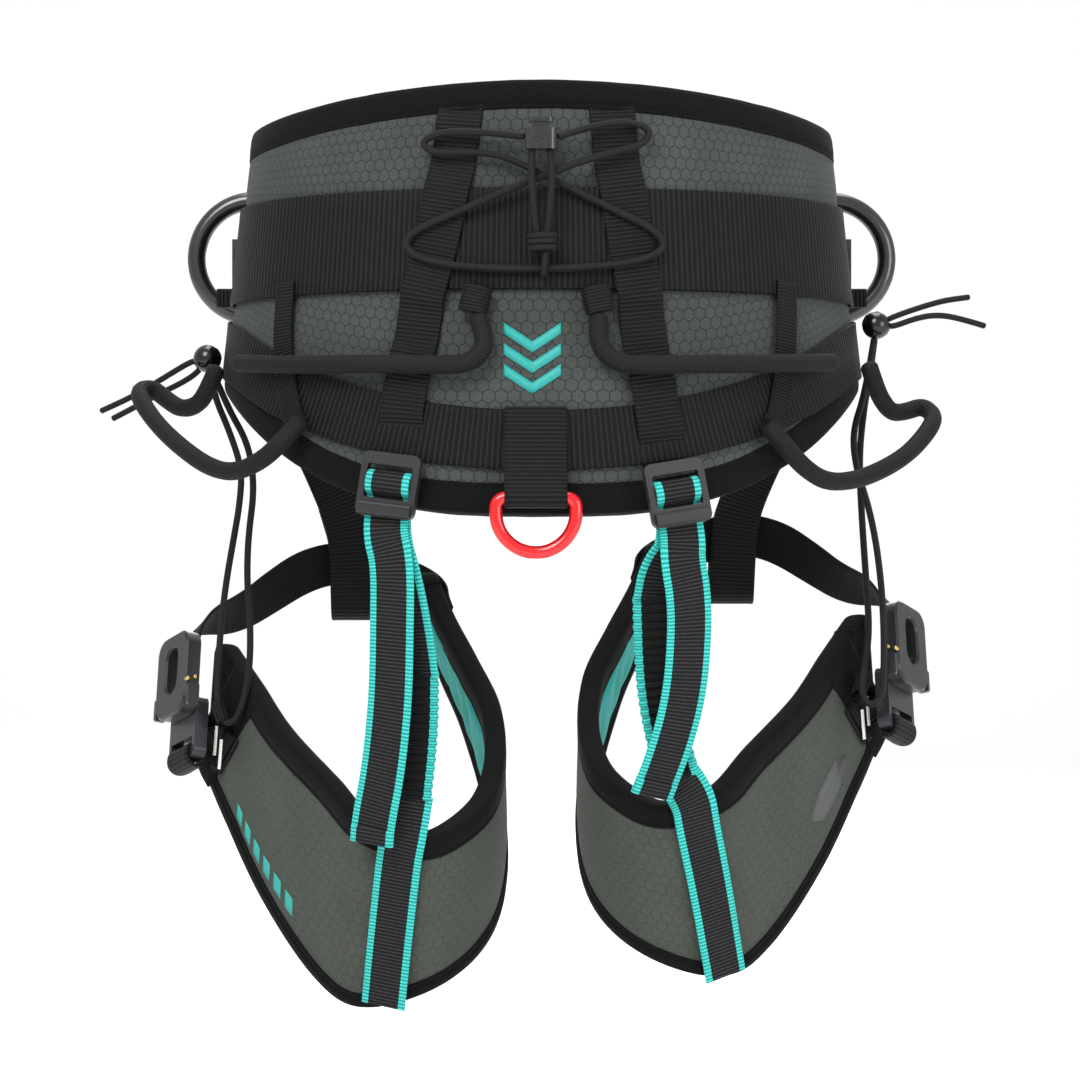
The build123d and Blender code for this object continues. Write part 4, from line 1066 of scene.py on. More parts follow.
# %% Gear loops
gear_tube = 10.0
over_straps = third_layer + gear_tube / 2
gear_routes = {
    "rear_left": [over_pad(*p) for p in (
        (-32, -43, 8.5), (-29, -51, 9), (-29, -61, over_straps - 0.5), (-37, -67.5, over_straps),
        (-50, -68, over_straps + 1), (-78, -66.8, 13), (-106, -66.5, 13), (-130, -65.5, 12),
        (-146, -64, over_straps + 0.5), (-157, -63, over_straps),
    )],
    "rear_right": [over_pad(*p) for p in (
        (28.5, -43, 8.5), (27.5, -51, 9), (30, -61, over_straps - 0.5), (39, -67.5, over_straps),
        (52, -68, over_straps + 1), (80, -66.8, 13), (104, -66.2, 13), (124, -65, 12),
        (138, -64, over_straps + 0.5), (149, -63, over_straps),
    )],
    "side_left": [on_pad(*p) for p in (
        (-42.7, -97, 9.9), (-44.1, -107.5, 16.9), (-47.7, -118, 20.1), (-54.3, -124, 21), (-60.6, -120, 24.7),
        (-66.7, -110, 31.5), (-72.8, -98.5, 39), (-78.1, -86, 46.4), (-82.8, -76, 50.5), (-85.6, -73.5, 42.5),
        (-84.4, -81, 33), (-82.3, -86.5, 24.3), (-79.5, -84, 16), (-77.5, -75, 12.3), (-76.3, -65, 9.7),
    )],
    "side_right": [on_pad(*p) for p in (
        (39.5, -100, 9.8), (40.9, -110.5, 15.6), (44.8, -122, 15.7), (50.3, -129, 14.8), (58.4, -127.5, 15.7),
        (65.3, -121.5, 21.5), (71.3, -113, 29.8), (76.6, -101.5, 37.9), (81.2, -91, 43.2), (84, -84, 36.4),
        (83, -87.5, 26.9), (80.9, -88.5, 18.8), (78.6, -81, 14.4), (77.1, -72, 12.4), (76.4, -63, 10.8),
    )],
}
for name, route in gear_routes.items():
    line = middle_line(name, route)
    piece = round_cord("gear_loop_sheath_" + name, line, gear_tube, loop_sheath, flutes=14, flute_depth=0.05)
    dress(piece, "waist", "gear_tube", "gear_loop_" + name)
    print(name, "gear loop", round(length_of(line)), "mm")

# %% [markdown]
# ## Lacing
#
# One elastic cord crosses between the back straps and goes round them, and both ends pass down
# through a cord lock to an overhand knot. It is held at every crossing, so it isn't a free cord.
# The knot is three wraps and a hitch rather than a true overhand knot, since only its outer turns
# show.

# %% Lacing cord, strands and knot
lace = 4.0
cord_out = third_layer + lay + lace / 2
toggle_x = -0.5
lacing_route = [
    (toggle_x - 8.8, 53, 15), (-20, 55, 12.2), (-36, 56.5, cord_out + 0.8), (-52, 57, cord_out),
    (-62, 51.5, cord_out), (-54, 45.5, cord_out), (-39, 46, cord_out), (-22, 44.5, cord_out + 0.4),
    (-8, 38, cord_out), (9, 29, cord_out), (25, 20.5, cord_out), (42, 12, cord_out), (56, 5, cord_out),
    (63, -3.5, cord_out), (55, -10.5, cord_out), (38, -14.5, cord_out), (16, -16.5, cord_out),
    (-8, -17, cord_out), (-30, -16.5, cord_out), (-50, -14, cord_out), (-66, -9, cord_out),
    (-70, 0, cord_out), (-58, 7.5, cord_out), (-42, 14, cord_out + 0.4), (-26, 21, cord_out + 2),
    (-11, 27.5, 12.2), (2, 32.5, 13.2), (14, 38, 12), (27, 43, cord_out + 1), (40, 47, cord_out),
    (51, 50, cord_out), (56, 58, cord_out), (45, 62.5, cord_out), (29, 60.5, cord_out + 0.8), (17, 56.5, 12),
    (toggle_x + 8.8, 53, 15),
]
lacing_line = middle_line("lacing", [over_pad(*p) for p in lacing_route])
lacing_pieces = [round_cord("lacing_cord_sheath", lacing_line, lace, cord_sheath, flutes=5, flute_depth=0.08)]
print("lacing cord", round(length_of(lacing_line)), "mm")
for side, name in ((-1, "left"), (1, "right")):
    x = 4.4 * side
    route = [
        (x + toggle_x, 46.5, 15), (x * 1.15, 34, 18.2), (x * 0.9, 16, 15.5), (x * 0.6, 3, 13),
        (x * 0.4, -6, 12),
    ]
    line = middle_line("strand", [over_pad(*p) for p in route])
    lacing_pieces.append(
        round_cord("lacing_strand_" + name, line, lace, cord_sheath, flutes=5, flute_depth=0.08)
    )

knot_coil = []
for step in range(40):
    angle = 2 * math.pi * (step / 13.0) + 2.4
    centre = over_pad(0.3 * step / 40, 1.2 - 9.6 * step / 40, 12.2)
    knot_coil.append(centre + Vector((6.6 * math.cos(angle), 4.2 * math.sin(angle), 0.9 * math.cos(angle))))
lacing_pieces.append(
    round_cord(
        "lacing_knot_wraps", middle_line("knot", knot_coil), 3.6, cord_sheath, flutes=5, flute_depth=0.08,
    )
)
hitch_route = [
    (1.5, -5, 11.5), (1.8, -9, 13.6), (1.4, -14, 13.4), (1.0, -19.4, 12.0), (0.6, -20.6, 8.6),
    (0.6, -17, 5.6),
]
hitch = [over_pad(*p) for p in hitch_route]
lacing_pieces.append(
    round_cord("lacing_knot_hitch", middle_line("hitch", hitch), 3.4, cord_sheath, flutes=5, flute_depth=0.08)
)
for piece in lacing_pieces:
    dress(piece, "waist", "black_cord", "lacing_cord")

# %% [markdown]
# ## Front belt
#
# The front belt is stiff webbing sewn inside the pad's front ends, which meets at the buckle. It
# follows the same oval as the pad, so the pad strap function makes it, with a distance inwards.

# %% Front belt
belt_out = -pad_thick - waist_tape_thick - lay - half_web
for name, low, high in (("left", -171.0, -108.0), ("right", 108.0, 171.0)):
    turns = [low + (high - low) * i / 30 for i in range(31)]
    belt = pad_strap(
        "front_belt_band_" + name, [(t, 0.0, belt_out) for t in turns], 44.0, waist_webbing_cloth,
    )
    dress(belt, "waist", "black_webbing", "front_belt_" + name)

# %% [markdown]
# ## Leg loops
#
# A leg loop is a tapered padded band that leans forward round the thigh. Its upper and lower
# edges are smooth curves through the CAD model's points, and the right loop is the left one's
# mirror image, hung a little higher. The turquoise lining is loose, so it has soft folds.

# %% Places on a leg pad
leg_upper = [
    (-187, 17, -217), (-168, -10, -240), (-149, -36, -265), (-121, -66, -291), (-97, -90, -313),
    (-62, -100, -321), (-32, -84, -305), (-22, -58, -283), (-24, -25, -255), (-38, 5, -228), (-52, 32, -204),
    (-64, 57, -178),
]
leg_lower = [
    (-192, 12, -295), (-180, -5, -318), (-157, -25, -361), (-127, -50, -400), (-101, -68, -415),
    (-65, -75, -407), (-36, -62, -388), (-22, -42, -360), (-22, -15, -318), (-36, 15, -270), (-50, 42, -240),
    (-64, 62, -206),
]
leg_last = len(leg_upper) - 1
leg_middle = Vector((-105, -15, -290))
right_lift = 17.0
leg_size = (385.0, 84.0)
leg_thick, leg_tape_thick = 9.0, 1.4


def leg_outward(u):
    """The direction that faces away from the thigh, on the left leg loop."""
    low, high = max(u - 0.1, 0), min(u + 0.1, leg_last)
    upper = curve_at(leg_upper, high) - curve_at(leg_upper, low)
    lower = curve_at(leg_lower, high) - curve_at(leg_lower, low)
    down = curve_at(leg_lower, u) - curve_at(leg_upper, u)
    out = (upper + lower).cross(down).normalized()
    centre = (curve_at(leg_upper, u) + curve_at(leg_lower, u)) * 0.5
    away = Vector((centre.x - leg_middle.x, centre.y - leg_middle.y, 0))
    return out if out.dot(away) > 0 else -out


def leg_point(u, drop, out=0.0):
    """A point over the left leg pad: drop is 0 at its upper edge and 1 at its lower edge."""
    return curve_at(leg_upper, u).lerp(curve_at(leg_lower, u), drop) + leg_outward(u) * out


def leg_down(u):
    """The direction from the upper to the lower edge of the left leg pad."""
    return (curve_at(leg_lower, u) - curve_at(leg_upper, u)).normalized()


def leg_side(side, point):
    """A point of the left leg loop, or the same point of the right one."""
    return point if side < 0 else Vector((-point.x, point.y, point.z + right_lift))


def turn_side(side, direction):
    """A direction on the left leg loop, or the same one on the right."""
    return direction if side < 0 else Vector((-direction.x, direction.y, direction.z))


print("upper edge of a leg pad:", round(length_of(along_curve(leg_upper, 100))), "mm")

# %% [markdown]
# ## Leg pads
#
# Each leg pad has a grey-green outer face over thin foam, a loose turquoise lining and a binding
# that is wide along the top edge. It could be one thick surface with three materials, but then
# the lining could not fold by itself. Three closed pieces are made: two slabs and a folded tape.

# %% Leg pads, linings and bindings
def leg_swell(a, b):
    """The leg pad's outer face rises in its middle and is drawn in at the binding."""
    point = leg_point(a * leg_last, 1 - b)
    middle = ease(min(b, 1 - b) / 0.3) * ease(min(a, 1 - a) / 0.05)
    return 1.3 * middle + 0.5 * wrinkle(point, 34.0, 5.0) * ease(min(b, 1 - b) / 0.2)


def leg_tape_width(a, b):
    """The leg binding is wide along the upper edge, narrow along the lower one and widest at the buckle."""
    return 7.0 + 5.0 * b + 9.0 * ease((0.03 - a) / 0.03)


def lining_fold(a, b):
    """The lining's soft folds, which run across the band and start where its tape ends."""
    point = leg_point(a * leg_last, 1 - b)
    from_edge = min(min(b, 1 - b) * leg_size[1], min(a, 1 - a) * leg_size[0])
    held = ease((from_edge - leg_tape_width(a, round(b)) - 1.5) / 13.0)
    fold = abs(wrinkle((a * leg_size[0], b * 30, 0), 26.0, 9.0)) ** 0.7
    return held * (0.6 + 2.6 * fold + 0.7 * wrinkle(point, 11.0, 4.0))


for side, name in ((-1, "left"), (1, "right")):
    body = "leg_" + name

    def leg_face(a, b, out, side=side):
        return leg_side(side, leg_point(a * leg_last, 1 - b, out))

    def leg_inner(a, b, out, side=side):
        return leg_side(side, leg_point(a * leg_last, 1 - b, -leg_thick - out))

    cover = pad_slab(
        "leg_pad_cover_" + name, leg_face, leg_size, (150, 30), 9.0, leg_swell, 0.0, -4.5, leg_fabric,
    )
    dress(cover, body, "grey_fabric", "leg_pad_shell_" + name)
    liner = pad_slab(
        "leg_pad_lining_" + name, leg_inner, leg_size, (190, 30), 9.0, lining_fold, 0.0, -4.5, leg_lining,
    )
    dress(liner, body, "turquoise_lining", "leg_pad_liner_" + name)
    rim = binding(
        "leg_binding_tape_" + name, leg_face, outline(leg_size, 9.0, (150, 14)), leg_tape_width,
        leg_tape_thick, leg_thick, binding_tape,
    )
    dress(rim, body, "black_binding", "leg_binding_" + name)

# %% [markdown]
# ## Leg straps, buckle wraps and bar tacks
#
# The leg strap leaves the buckle's upper plate, turns on edge and runs to the pad's inner end. A
# second piece of webbing goes round the buckle's lower bar and is sewn to the pad's outer end
# with two white bar tacks. A patch of binding tape covers that end, a small webbing loop beside it
# holds the leg cord, and two brass pins end in the buckle's side. The buckle lies askew, so it has
# its own frame of directions, and the routes are written in that frame where they pass through it.

# %% Leg straps and buckle wraps
buckle_up = Vector((0.02, 0.35, 0.937))
buckle_outward = Vector((-0.84, -0.5, 0.2)).normalized()
buckle_across = buckle_up.cross(buckle_outward).normalized()
buckle_y = buckle_outward.cross(buckle_across)
buckle_origin = Vector((-205, 4, -251))
sewn_out = leg_tape_thick + 0.6 + half_web


def buckle_point(x, y, z):
    """A place in the left leg buckle's own frame: across, up and out."""
    return buckle_origin + buckle_across * x + buckle_y * y + buckle_outward * z


strap_route = [
    buckle_point(0, 20, -1.4), buckle_point(0, 38, -1.4), Vector((-194, 28, -207)), Vector((-176, 42, -203)),
    Vector((-158, 58, -190)), Vector((-142, 71, -179)), Vector((-126, 79, -174)), Vector((-110, 81, -174)),
    Vector((-93, 77, -179)), leg_point(11, 0.5, sewn_out + 0.4), leg_point(10.5, 0.5, sewn_out),
]
on_edge = Vector((0.05, 0.1, 1))
strap_sides = [buckle_across.lerp(on_edge, k) for k in (0, 0, 0.35, 0.7, 0.9, 1, 1, 1, 1, 1, 1)]
strap_sides[-2:] = [-leg_down(11), -leg_down(10.5)]
wrap_route = [
    leg_point(0.9, 0.59, sewn_out + 2.0), leg_point(0.6, 0.6, sewn_out + 2.2), buckle_point(0, -39, -12),
    buckle_point(0, -42, -4), buckle_point(0, -38.5, 1.6), buckle_point(0, -31, 1.6),
    buckle_point(0, -28.2, -3), buckle_point(0, -30, -10.5), leg_point(0.3, 0.6, sewn_out),
    leg_point(0.6, 0.6, sewn_out), leg_point(0.95, 0.585, sewn_out),
]
wrap_sides = [-leg_down(0.9), -leg_down(0.6)] + [buckle_across] * 6
wrap_sides += [-leg_down(0.3), -leg_down(0.6), -leg_down(0.95)]
patch_places = (0.06, 0.3, 0.6, 0.94)
tack_wide = 2.4
cord_loop_at = Vector((-182.2, -15.2, -257.5))
cord_loop_foot = Vector((-179, -4.5, -260))
cord_runs = Vector((0.34, -0.23, -0.91))

for side, name in ((-1, "left"), (1, "right")):
    body = "leg_" + name
    route = [leg_side(side, p) for p in strap_route]
    piece = strap(
        "leg_strap_band_" + name, route, [turn_side(side, s) for s in strap_sides], strap_wide, web_thick,
        smooth_cloth, step=2.0, soft=0.6,
    )
    dress(piece, body, "black_webbing", "leg_strap_" + name)
    route = [leg_side(side, p) for p in wrap_route]
    piece = strap(
        "leg_buckle_wrap_" + name, route, [turn_side(side, s) for s in wrap_sides], strap_wide, web_thick,
        strap_cloth, step=1.0, soft=0.1,
    )
    dress(piece, body, "black_webbing", "leg_buckle_tab_" + name)
    route = [leg_side(side, leg_point(u, 0.5, 1.0)) for u in patch_places]
    patch = strap(
        "leg_end_patch_" + name, route, [turn_side(side, -leg_down(u)) for u in patch_places], 66.0, 1.6,
        binding_tape,
    )
    dress(patch, body, "black_binding")
    inward = (cord_loop_foot - cord_loop_at).normalized()
    across = inward.cross(cord_runs).normalized()
    fold = [cord_loop_foot + across * 1.0, cord_loop_at + inward * 5 + across * 2.2]
    fold += [
        cord_loop_at + (inward * math.cos(t) + across * math.sin(t)) * 3.3
        for t in [math.radians(60 + 48 * n) for n in range(6)]
    ]
    fold += [cord_loop_at + inward * 5 - across * 2.2, cord_loop_foot - across * 1.0]
    loop = strap(
        "leg_cord_loop_" + name, [leg_side(side, p) for p in fold], turn_side(side, cord_runs), 12.0, 1.4,
        fine_cloth, step=0.8, soft=0.1,
    )
    dress(loop, body, "black_webbing")
    for number, (u, high, lift) in enumerate(((0.66, 0.46, 4.3), (0.84, 0.5, 3.6))):
        ends = [
            leg_point(u + shift, high + drop, sewn_out + lift)
            for shift, drop in ((-0.03, 0.0), (0.0, 0.1), (0.03, 0.2))
        ]
        along_pad = (leg_point(u + 0.2, 0.5) - leg_point(u - 0.2, 0.5)).normalized()
        tack = strap(
            f"bar_tack_{name}_{number + 1}", [leg_side(side, p) for p in ends], turn_side(side, along_pad),
            tack_wide, 0.8, white_thread, step=0.45, soft=0.1,
        )
        dress(tack, body, None)
    for number, (y, z) in enumerate(((7.5, 3.0), (5.8, 7.6))):
        ends = [leg_side(side, buckle_point(x, y, z)) for x in (18.0, 20.4)]
        pin = round_cord(f"buckle_pin_{name}_{number + 1}", ends, 2.8, brass, flutes=1, flute_depth=0.0)
        dress(pin, body, "brass_pins")

# %% [markdown]
# ## Risers and elastic
# At the back each leg loop hangs from a riser: turquoise-edged webbing that climbs behind its
# ladder lock, goes over the middle bar and hangs down as a loose tail. Below the lock a gathered
# elastic stretch lets the leg move. The tail ends in a thick hem, and a strip of the same webbing
# runs down the leg pad. Riser and elastic join the waist to a leg. A cloth simulation could drape
# them, but their ends have to stay sewn, so they are shaped in place and parented to neither body.

# %% Risers and elastic
def lock_frame(x, z, lean):
    """A ladder lock's origin and its across, up and out directions."""
    turn = turn_at(x, z)
    out = pad_outward(turn, z)
    level = Vector((-out.y, out.x, 0)).normalized()
    up = out.cross(level)
    tilt = math.radians(lean)
    across = level * math.cos(tilt) + up * math.sin(tilt)
    return on_pad(turn, z, third_layer + 2.2), across, out.cross(across), out


# A riser's way through its lock, as (up, out) places.
threading = [(-24, -4.1), (4.5, -4.1), (7.3, 0), (5.6, 5.3), (-2.6, 5.3), (-4.4, 1), (-7, -1.5), (-24, -1.5)]
# Each riser: its lock, the run behind it, its tail, the gathers, and the strip's top and its places.
risers = {
    "left": (
        lock_frame(-76.5, -131.5, -7), [(-74, -130, -182), (-68.5, -119, -215), (-66.5, -114, -232.5)],
        [
            (-78.8, -135, -172), (-79.2, -129.5, -202), (-80.4, -122, -245), (-84.4, -115, -282),
            (-90.4, -109, -312), (-91.2, -107, -322),
        ],
        [(-66.5, -113.8, -233.4), (-67, -108.5, -264), (-70.3, -104.5, -293.5)],
        (-70.6, -104.5, -296.5), [(4.66, -0.03), (4.6, 0.12), (4.52, 0.5), (4.43, 1.0)],
    ),
    "right": (
        lock_frame(67.5, -135.5, 9), [(63, -128, -174), (60, -122.5, -191.5)],
        [
            (74, -139, -170), (77.5, -134, -190), (78, -130, -213), (75.2, -125, -245), (67, -119, -274.5),
            (58.6, -113, -296),
        ],
        [(59.7, -122, -193.6), (61, -116, -232), (66, -109, -262), (72.2, -105, -283)],
        (72.8, -105, -286.5), [(4.47, -0.03), (4.42, 0.12), (4.25, 0.5), (4.05, 1.0)],
    ),
}
for side, name in ((-1, "left"), (1, "right")):
    (origin, across, up, out), back, tail, gathers, strip_top, strip_places = risers[name]
    through = [origin + up * y + out * z for y, z in threading]
    route = [Vector(p) for p in reversed(back)] + through + [Vector(p) for p in tail]
    riser = strap(
        "riser_webbing_" + name, route, across, strap_wide, web_thick, riser_cloth, step=1.0, soft=0.3,
    )
    joined = ("waist", "leg_" + name, (side * 72, -130, -140), (side * 72, -105, -295))
    dress(riser, joined, "turquoise_edged_webbing", "riser_" + name)
    last = Vector(tail[-1]) - Vector(tail[-2])
    hem_route = [Vector(tail[-1]) + last.normalized() * reach for reach in (-8.0, -4.0, 0.6)]
    hem = strap("riser_hem_" + name, hem_route, across, 25.2, 4.0, riser_cloth, step=1.0, soft=0.3)
    dress(hem, joined, "turquoise_edged_webbing")
    ends = [Vector(p) for p in gathers]
    above, below = (ends[0] - ends[1]).normalized() * 4, (ends[-1] - ends[-2]).normalized() * 5
    ends = [ends[0] + above] + ends[1:-1] + [ends[-1] + below]
    elastic = strap(
        "riser_elastic_gathers_" + name, ends, Vector((1, 0, 0)), 22.0, 4.4, gather_cloth, step=0.6,
        ruffle=(4.6, 1.3),
    )
    dress(elastic, joined, "turquoise_edged_webbing", "riser_elastic_" + name)
    points, sides = [Vector(strip_top)], [Vector((1, 0, 0))]
    for u, drop in strip_places:
        points.append(leg_side(side, leg_point(u, drop, sewn_out)))
        run = leg_point(u, min(drop + 0.1, 1.1)) - leg_point(u, drop - 0.1)
        over = run.cross(leg_outward(u)).normalized()
        over = over if over.x > 0 else -over
        sides.append(over if side < 0 else Vector((over.x, -over.y, -over.z)))
    strip = strap("riser_strip_webbing_" + name, points, sides, strap_wide, web_thick, riser_cloth, step=1.0)
    dress(strip, "leg_" + name, "turquoise_edged_webbing", "riser_strip_" + name)

# %% [markdown]
# ## Hangers
# In front, a hanger of 27 mm webbing goes from the hip webbing down round the leg strap and back
# up to itself. It lies along the pad at the hip and turns to face forward on its way down, so the
# direction of its width changes along the route. It could be two flat pieces sewn at the turn, but
# one strap has no seam there. Like the risers it is parented to neither body.

# %% Hangers
hangers = {
    "left": [
        on_pad(-124, -42, 6.5), on_pad(-124, -68, 6.5), (-139, 81, -100), (-121, 79, -135), (-113, 73, -158),
        (-112, 72, -198), (-112, 75, -205), (-112, 81, -208), (-112, 86, -205), (-112, 89, -198),
        (-113, 89, -165), (-121, 86, -138),
    ],
    "right": [
        on_pad(124, -42, 6.5), on_pad(124, -68, 6.5), (139, 81, -98), (122, 78.5, -130), (115, 73, -150),
        (113, 72, -188), (113, 75, -195), (113, 81, -198), (113, 86, -195), (113, 89, -188), (114, 89, -155),
        (122, 85.5, -132),
    ],
}
for side, name in ((-1, "left"), (1, "right")):
    route = [Vector(p) for p in hangers[name]]
    sides = [Vector((1, -side * k, 0)) for k in [1, 1, 0.6, 0.2] + [0] * (len(route) - 4)]
    hanger = strap(
        "leg_hanger_webbing_" + name, route, sides, 27.0, web_thick, strap_cloth, step=1.5, soft=0.4,
    )
    joined = ("waist", "leg_" + name, (side * 130, 78, -55), (side * 113, 78, -185))
    dress(hanger, joined, "black_webbing", "leg_hanger_" + name)

# %% [markdown]
# ## Leg cords, beads and loose tails
#
# On each hip an elastic cord runs down to the leg buckle's loop and back up, and both ends leave
# its bead as loose tails. The tails are the only free cords on the harness. Each has sealed, domed
# cut ends, and its length is printed. The bead is a turned shape: its outline is spun round an
# axis, as a lathe or a Screw modifier would do it.

# %% Leg cords and tails
bead = 8.0
tail_gap = bead + lay
elastic_cord, tail_cord = 4.0, 3.5
beads = {"left": on_pad(-86.4, -57, bead + 5.1), "right": on_pad(86.4, -38, bead + 7.2)}
leg_cord_routes = {
    "left": [
        (-186.5, -7, -78), (-178, -4, -98), (-171, -2, -120), (-172.5, -2, -140), (-176, -2, -160),
        (-180, -4, -184), (-182.5, -7, -208), (-184, -10, -232), (-184, -14, -252), (-179.5, -17, -264),
        (-172.5, -18, -262), (-167.5, -18, -248), (-165, -16, -228), (-165.5, -11, -205), (-168, -5, -183),
        (-168, 3, -158), (-164.5, 5, -130), (-168, 6, -105), (-180, 4, -84),
    ],
    "right": [
        (187.5, -5, -62), (184, 0, -85), (181.5, 2, -111), (182.5, 2, -138), (184, 0, -165),
        (185.5, -3, -190), (186, -10, -213), (182.5, -17, -232), (180, -22, -244), (182.5, -24.5, -252),
        (188, -25, -252.5), (192, -25, -245.5), (192.5, -25, -232), (193, -21, -212), (192.5, -15, -188),
        (190, -11, -163), (185.5, -9, -140), (178.5, -8, -119), (176.5, -8, -98), (184, -9, -76),
    ],
}
tail_routes = {
    "left": [
        [(-200, -5, -58.5), (-210, -2, -64), (-222, 1, -71), (-236, 3, -79), (-252, 4, -86)],
        [(-197, -2, -65), (-206, 0, -70.5), (-218, 2, -76), (-230, 3, -82.5), (-245, 2, -90.5)],
    ],
    "right": [
        [(200, -7, -33), (211, -6, -29), (222, -5, -25.5), (232, -5, -23), (243, -5, -21.7)],
        [(200.5, -9, -38.5), (211, -9, -34.5), (222, -8, -32), (235, -7, -33), (252, -5, -38)],
    ],
}


def from_bead(centre, towards):
    """Where a cord leaves a bead."""
    return centre + (Vector(towards) - centre).normalized() * tail_gap


def bead_shape(name, centre, axis):
    """A turned bead: a ball with a flat and a small rim at both ends of its hole."""
    axis = axis.normalized()
    side = axis.orthogonal().normalized()
    other = axis.cross(side)
    profile = [(-7.2, 2.2), (-7.6, 2.8), (-7.4, 3.4)]
    profile += [
        (bead * math.sin(math.radians(a)), bead * math.cos(math.radians(a))) for a in range(-60, 61, 10)
    ]
    profile += [(7.4, 3.4), (7.6, 2.8), (7.2, 2.2)]
    spin = [math.pi * k / 16 for k in range(32)]
    rows = []
    for along, reach in profile:
        hub = centre + axis * along
        rows.append([hub + (side * math.cos(t) + other * math.sin(t)) * reach for t in spin])
    return grid_mesh(name, rows, [[(along, 0.0)] * 32 for along, _ in profile], gloss_acetal)


for side, name in ((-1, "left"), (1, "right")):
    centre = beads[name]
    route = leg_cord_routes[name]
    whole = [from_bead(centre, route[0])] + [Vector(p) for p in route] + [from_bead(centre, route[-1])]
    line = middle_line("leg_cord", whole)
    cord = round_cord("leg_cord_sheath_" + name, line, elastic_cord, cord_sheath, flutes=5, flute_depth=0.06)
    joined = ("waist", "leg_" + name, (side * 180, 0, -65), (side * 175, -15, -240))
    dress(cord, joined, "black_cord", "leg_cord_" + name)
    turned = bead_shape("hip_bead_turned_" + name, centre, Vector((side, 0.2, -0.4)))
    dress(turned, "waist", "black_plastic", "hip_bead_" + name)
    for number, tail in enumerate(tail_routes[name]):
        points = [from_bead(centre, tail[0])] + [Vector(p) for p in tail]
        line = middle_line("tail", points)
        piece = round_cord(
            f"hip_tail_cord_{name}_{number + 1}", line, tail_cord, cord_sheath, flutes=5, flute_depth=0.06,
        )
        dress(piece, "waist", "black_cord", "hip_tails_" + name)
        print("tail", name, number + 1, round(length_of(line), 1), "mm")

# %% [markdown]
# ## Printed marks
#
# The back carries a turquoise printed device, the left leg a printed word and the right leg a dark
# heat-transfer label. Three plain chevrons, a row of plain dashes and a blank patch stand in. A
# print could be a mask in the cloth's material. A thin mesh laid on the cloth has sharper edges,
# and it moves with its body.

# %% Prints
def flat_print(name, base, roughness, dark, light, scale, detail, depth_mm=0.0):
    """A print or film on cloth, whose colour is a little uneven."""
    made, tree, shader = new_material(name, base, roughness)
    speck = add(tree, "TexNoise", {"Vector": add(tree, "UVMap"), "Scale": scale, "Detail": detail})
    add(tree, shader, {"Base Color": add(tree, "Mix", {0: speck, 6: dark, 7: light}, data_type="RGBA")})
    if depth_mm:
        raised = add(tree, "Bump", {"Height": speck, "Distance": depth_mm * MM, "Strength": 0.5})
        add(tree, shader, {"Normal": raised})
    return made


print_ink = flat_print("turquoise_rubber_print", "#16938d", 0.5, "#0d7d78", "#1aa39c", 0.6, 2.0)
patch_film = flat_print("dark_transfer_film", "#3c3f3e", 0.5, "#2e3130", "#4a4d4c", 1.1, 3.0, 0.08)


def chevron(name, tip_z, half_width, rise, height):
    """A printed chevron on the back of the waist pad, pointing down."""
    rows, places = [], []
    for i in range(25):
        x = half_width * (i / 12 - 1)
        z = tip_z + rise * abs(x) / half_width
        corners = [(z + height / 2, 1.9), (z - height / 2, 1.9), (z - height / 2, 0.6), (z + height / 2, 0.6)]
        rows.append([over_pad(x - 5, level, out) for level, out in corners])
        places.append([(x, level) for level, _ in corners])
    return grid_mesh(name, rows, places, print_ink)


for number, tip in enumerate((-58.0, -69.0, -80.0)):
    mark = chevron(f"back_print_chevron_{number + 1}", tip, 15.0, 10.0, 6.0)
    dress(mark, "waist", "turquoise_lining")


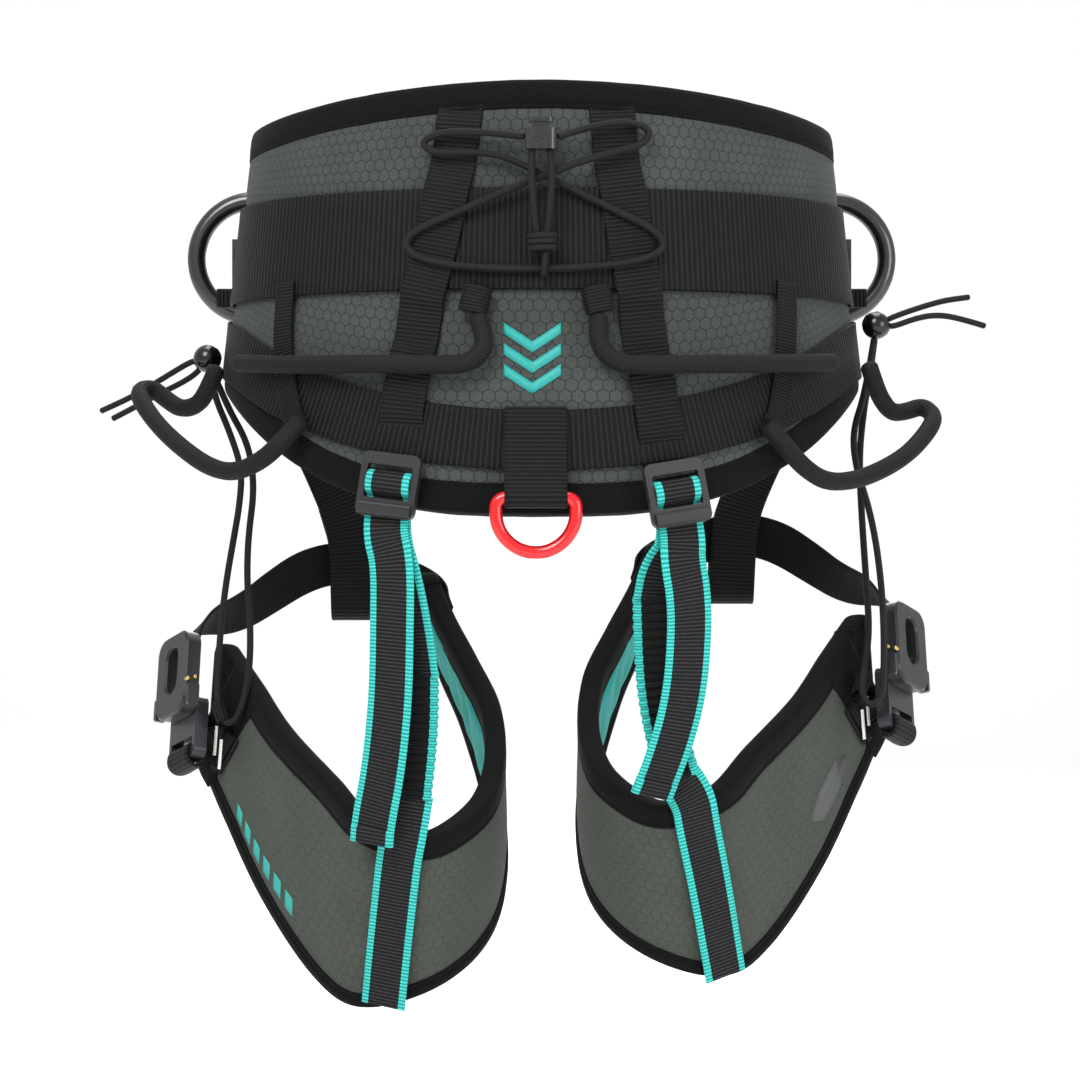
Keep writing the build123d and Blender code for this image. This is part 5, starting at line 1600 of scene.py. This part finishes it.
def leg_mark(name, side, first, last, middle, half_widths, material):
    """A flat mark along a leg pad from place first to last, with a half width in mm at even steps."""
    rows, places = [], []
    steps = 4 * (len(half_widths) - 1)
    for i in range(steps + 1):
        u = first + (last - first) * i / steps
        k = min(int(i / 4), len(half_widths) - 2)
        half = half_widths[k] + (half_widths[k + 1] - half_widths[k]) * (i / 4 - k)
        drops = [middle - half / leg_size[1], middle + half / leg_size[1]]
        lift = [leg_swell(u / leg_last, 1 - drop) for drop in drops]
        corners = [(drop, out + 0.35) for drop, out in zip(drops, lift)]
        corners += [(drop, out - 0.8) for drop, out in zip(drops[::-1], lift[::-1])]
        rows.append([leg_side(side, leg_point(u, drop, out)) for drop, out in corners])
        places.append([(u * leg_size[0] / leg_last, drop * leg_size[1]) for drop, _ in corners])
    return grid_mesh(name, rows, places, material)


for number in range(6):
    start = 1.3 + 0.23 * number
    dash = leg_mark(f"leg_print_dash_{number + 1}", -1, start, start + 0.14, 0.8, [4.0, 4.0], print_ink)
    dress(dash, "leg_left", "turquoise_lining")
patch = leg_mark("leg_plain_patch", 1, 1.25, 2.15, 0.66, [1.0, 8.0, 8.5, 8.0, 1.0], patch_film)
dress(patch, "leg_right", "black_binding")

# %% [markdown]
# ## Hard pieces
#
# Rings, buckles, ladder locks and the cord lock keep their CAD shape. A narrow bevel rounds moulded
# and machined edges, so that they catch the light, and each piece gets its real finish. A Bevel
# modifier does this without changing the CAD mesh, which stays exact for the moving joints.

# %% Finishes on the CAD pieces
def finish_cad(node, material, bevel_mm=0.0):
    """Gives a CAD node a finish and, where it is moulded or machined, softened edges."""
    piece = nodes[node]
    piece.data.materials.clear()
    piece.data.materials.append(material)
    if bevel_mm:
        bevel = piece.modifiers.new("soft_edges", "BEVEL")
        bevel.width = bevel_mm * MM
        bevel.segments = 3
        bevel.limit_method = "ANGLE"
        bevel.angle_limit = math.radians(40)
    print(node, "is finished in", material.name)


finish_cad("rear_ring", red_anodised)
for name in ("left", "right"):
    finish_cad("side_ring_" + name, coated_ring)
    finish_cad("front_ring_" + name, coated_ring)
    finish_cad("ladder_lock_" + name, acetal, 0.5)
    finish_cad("leg_buckle_plate_" + name, buckle_metal, 0.4)
    finish_cad("leg_buckle_frame_" + name, buckle_metal, 0.6)
    finish_cad("leg_buckle_gates_" + name, buckle_metal, 0.3)
finish_cad("front_buckle_frame", buckle_metal, 0.8)
finish_cad("front_buckle_tongue", buckle_metal, 0.8)
finish_cad("lacing_toggle", gloss_acetal, 0.9)
finish_cad("lacing_button", gloss_acetal, 0.5)
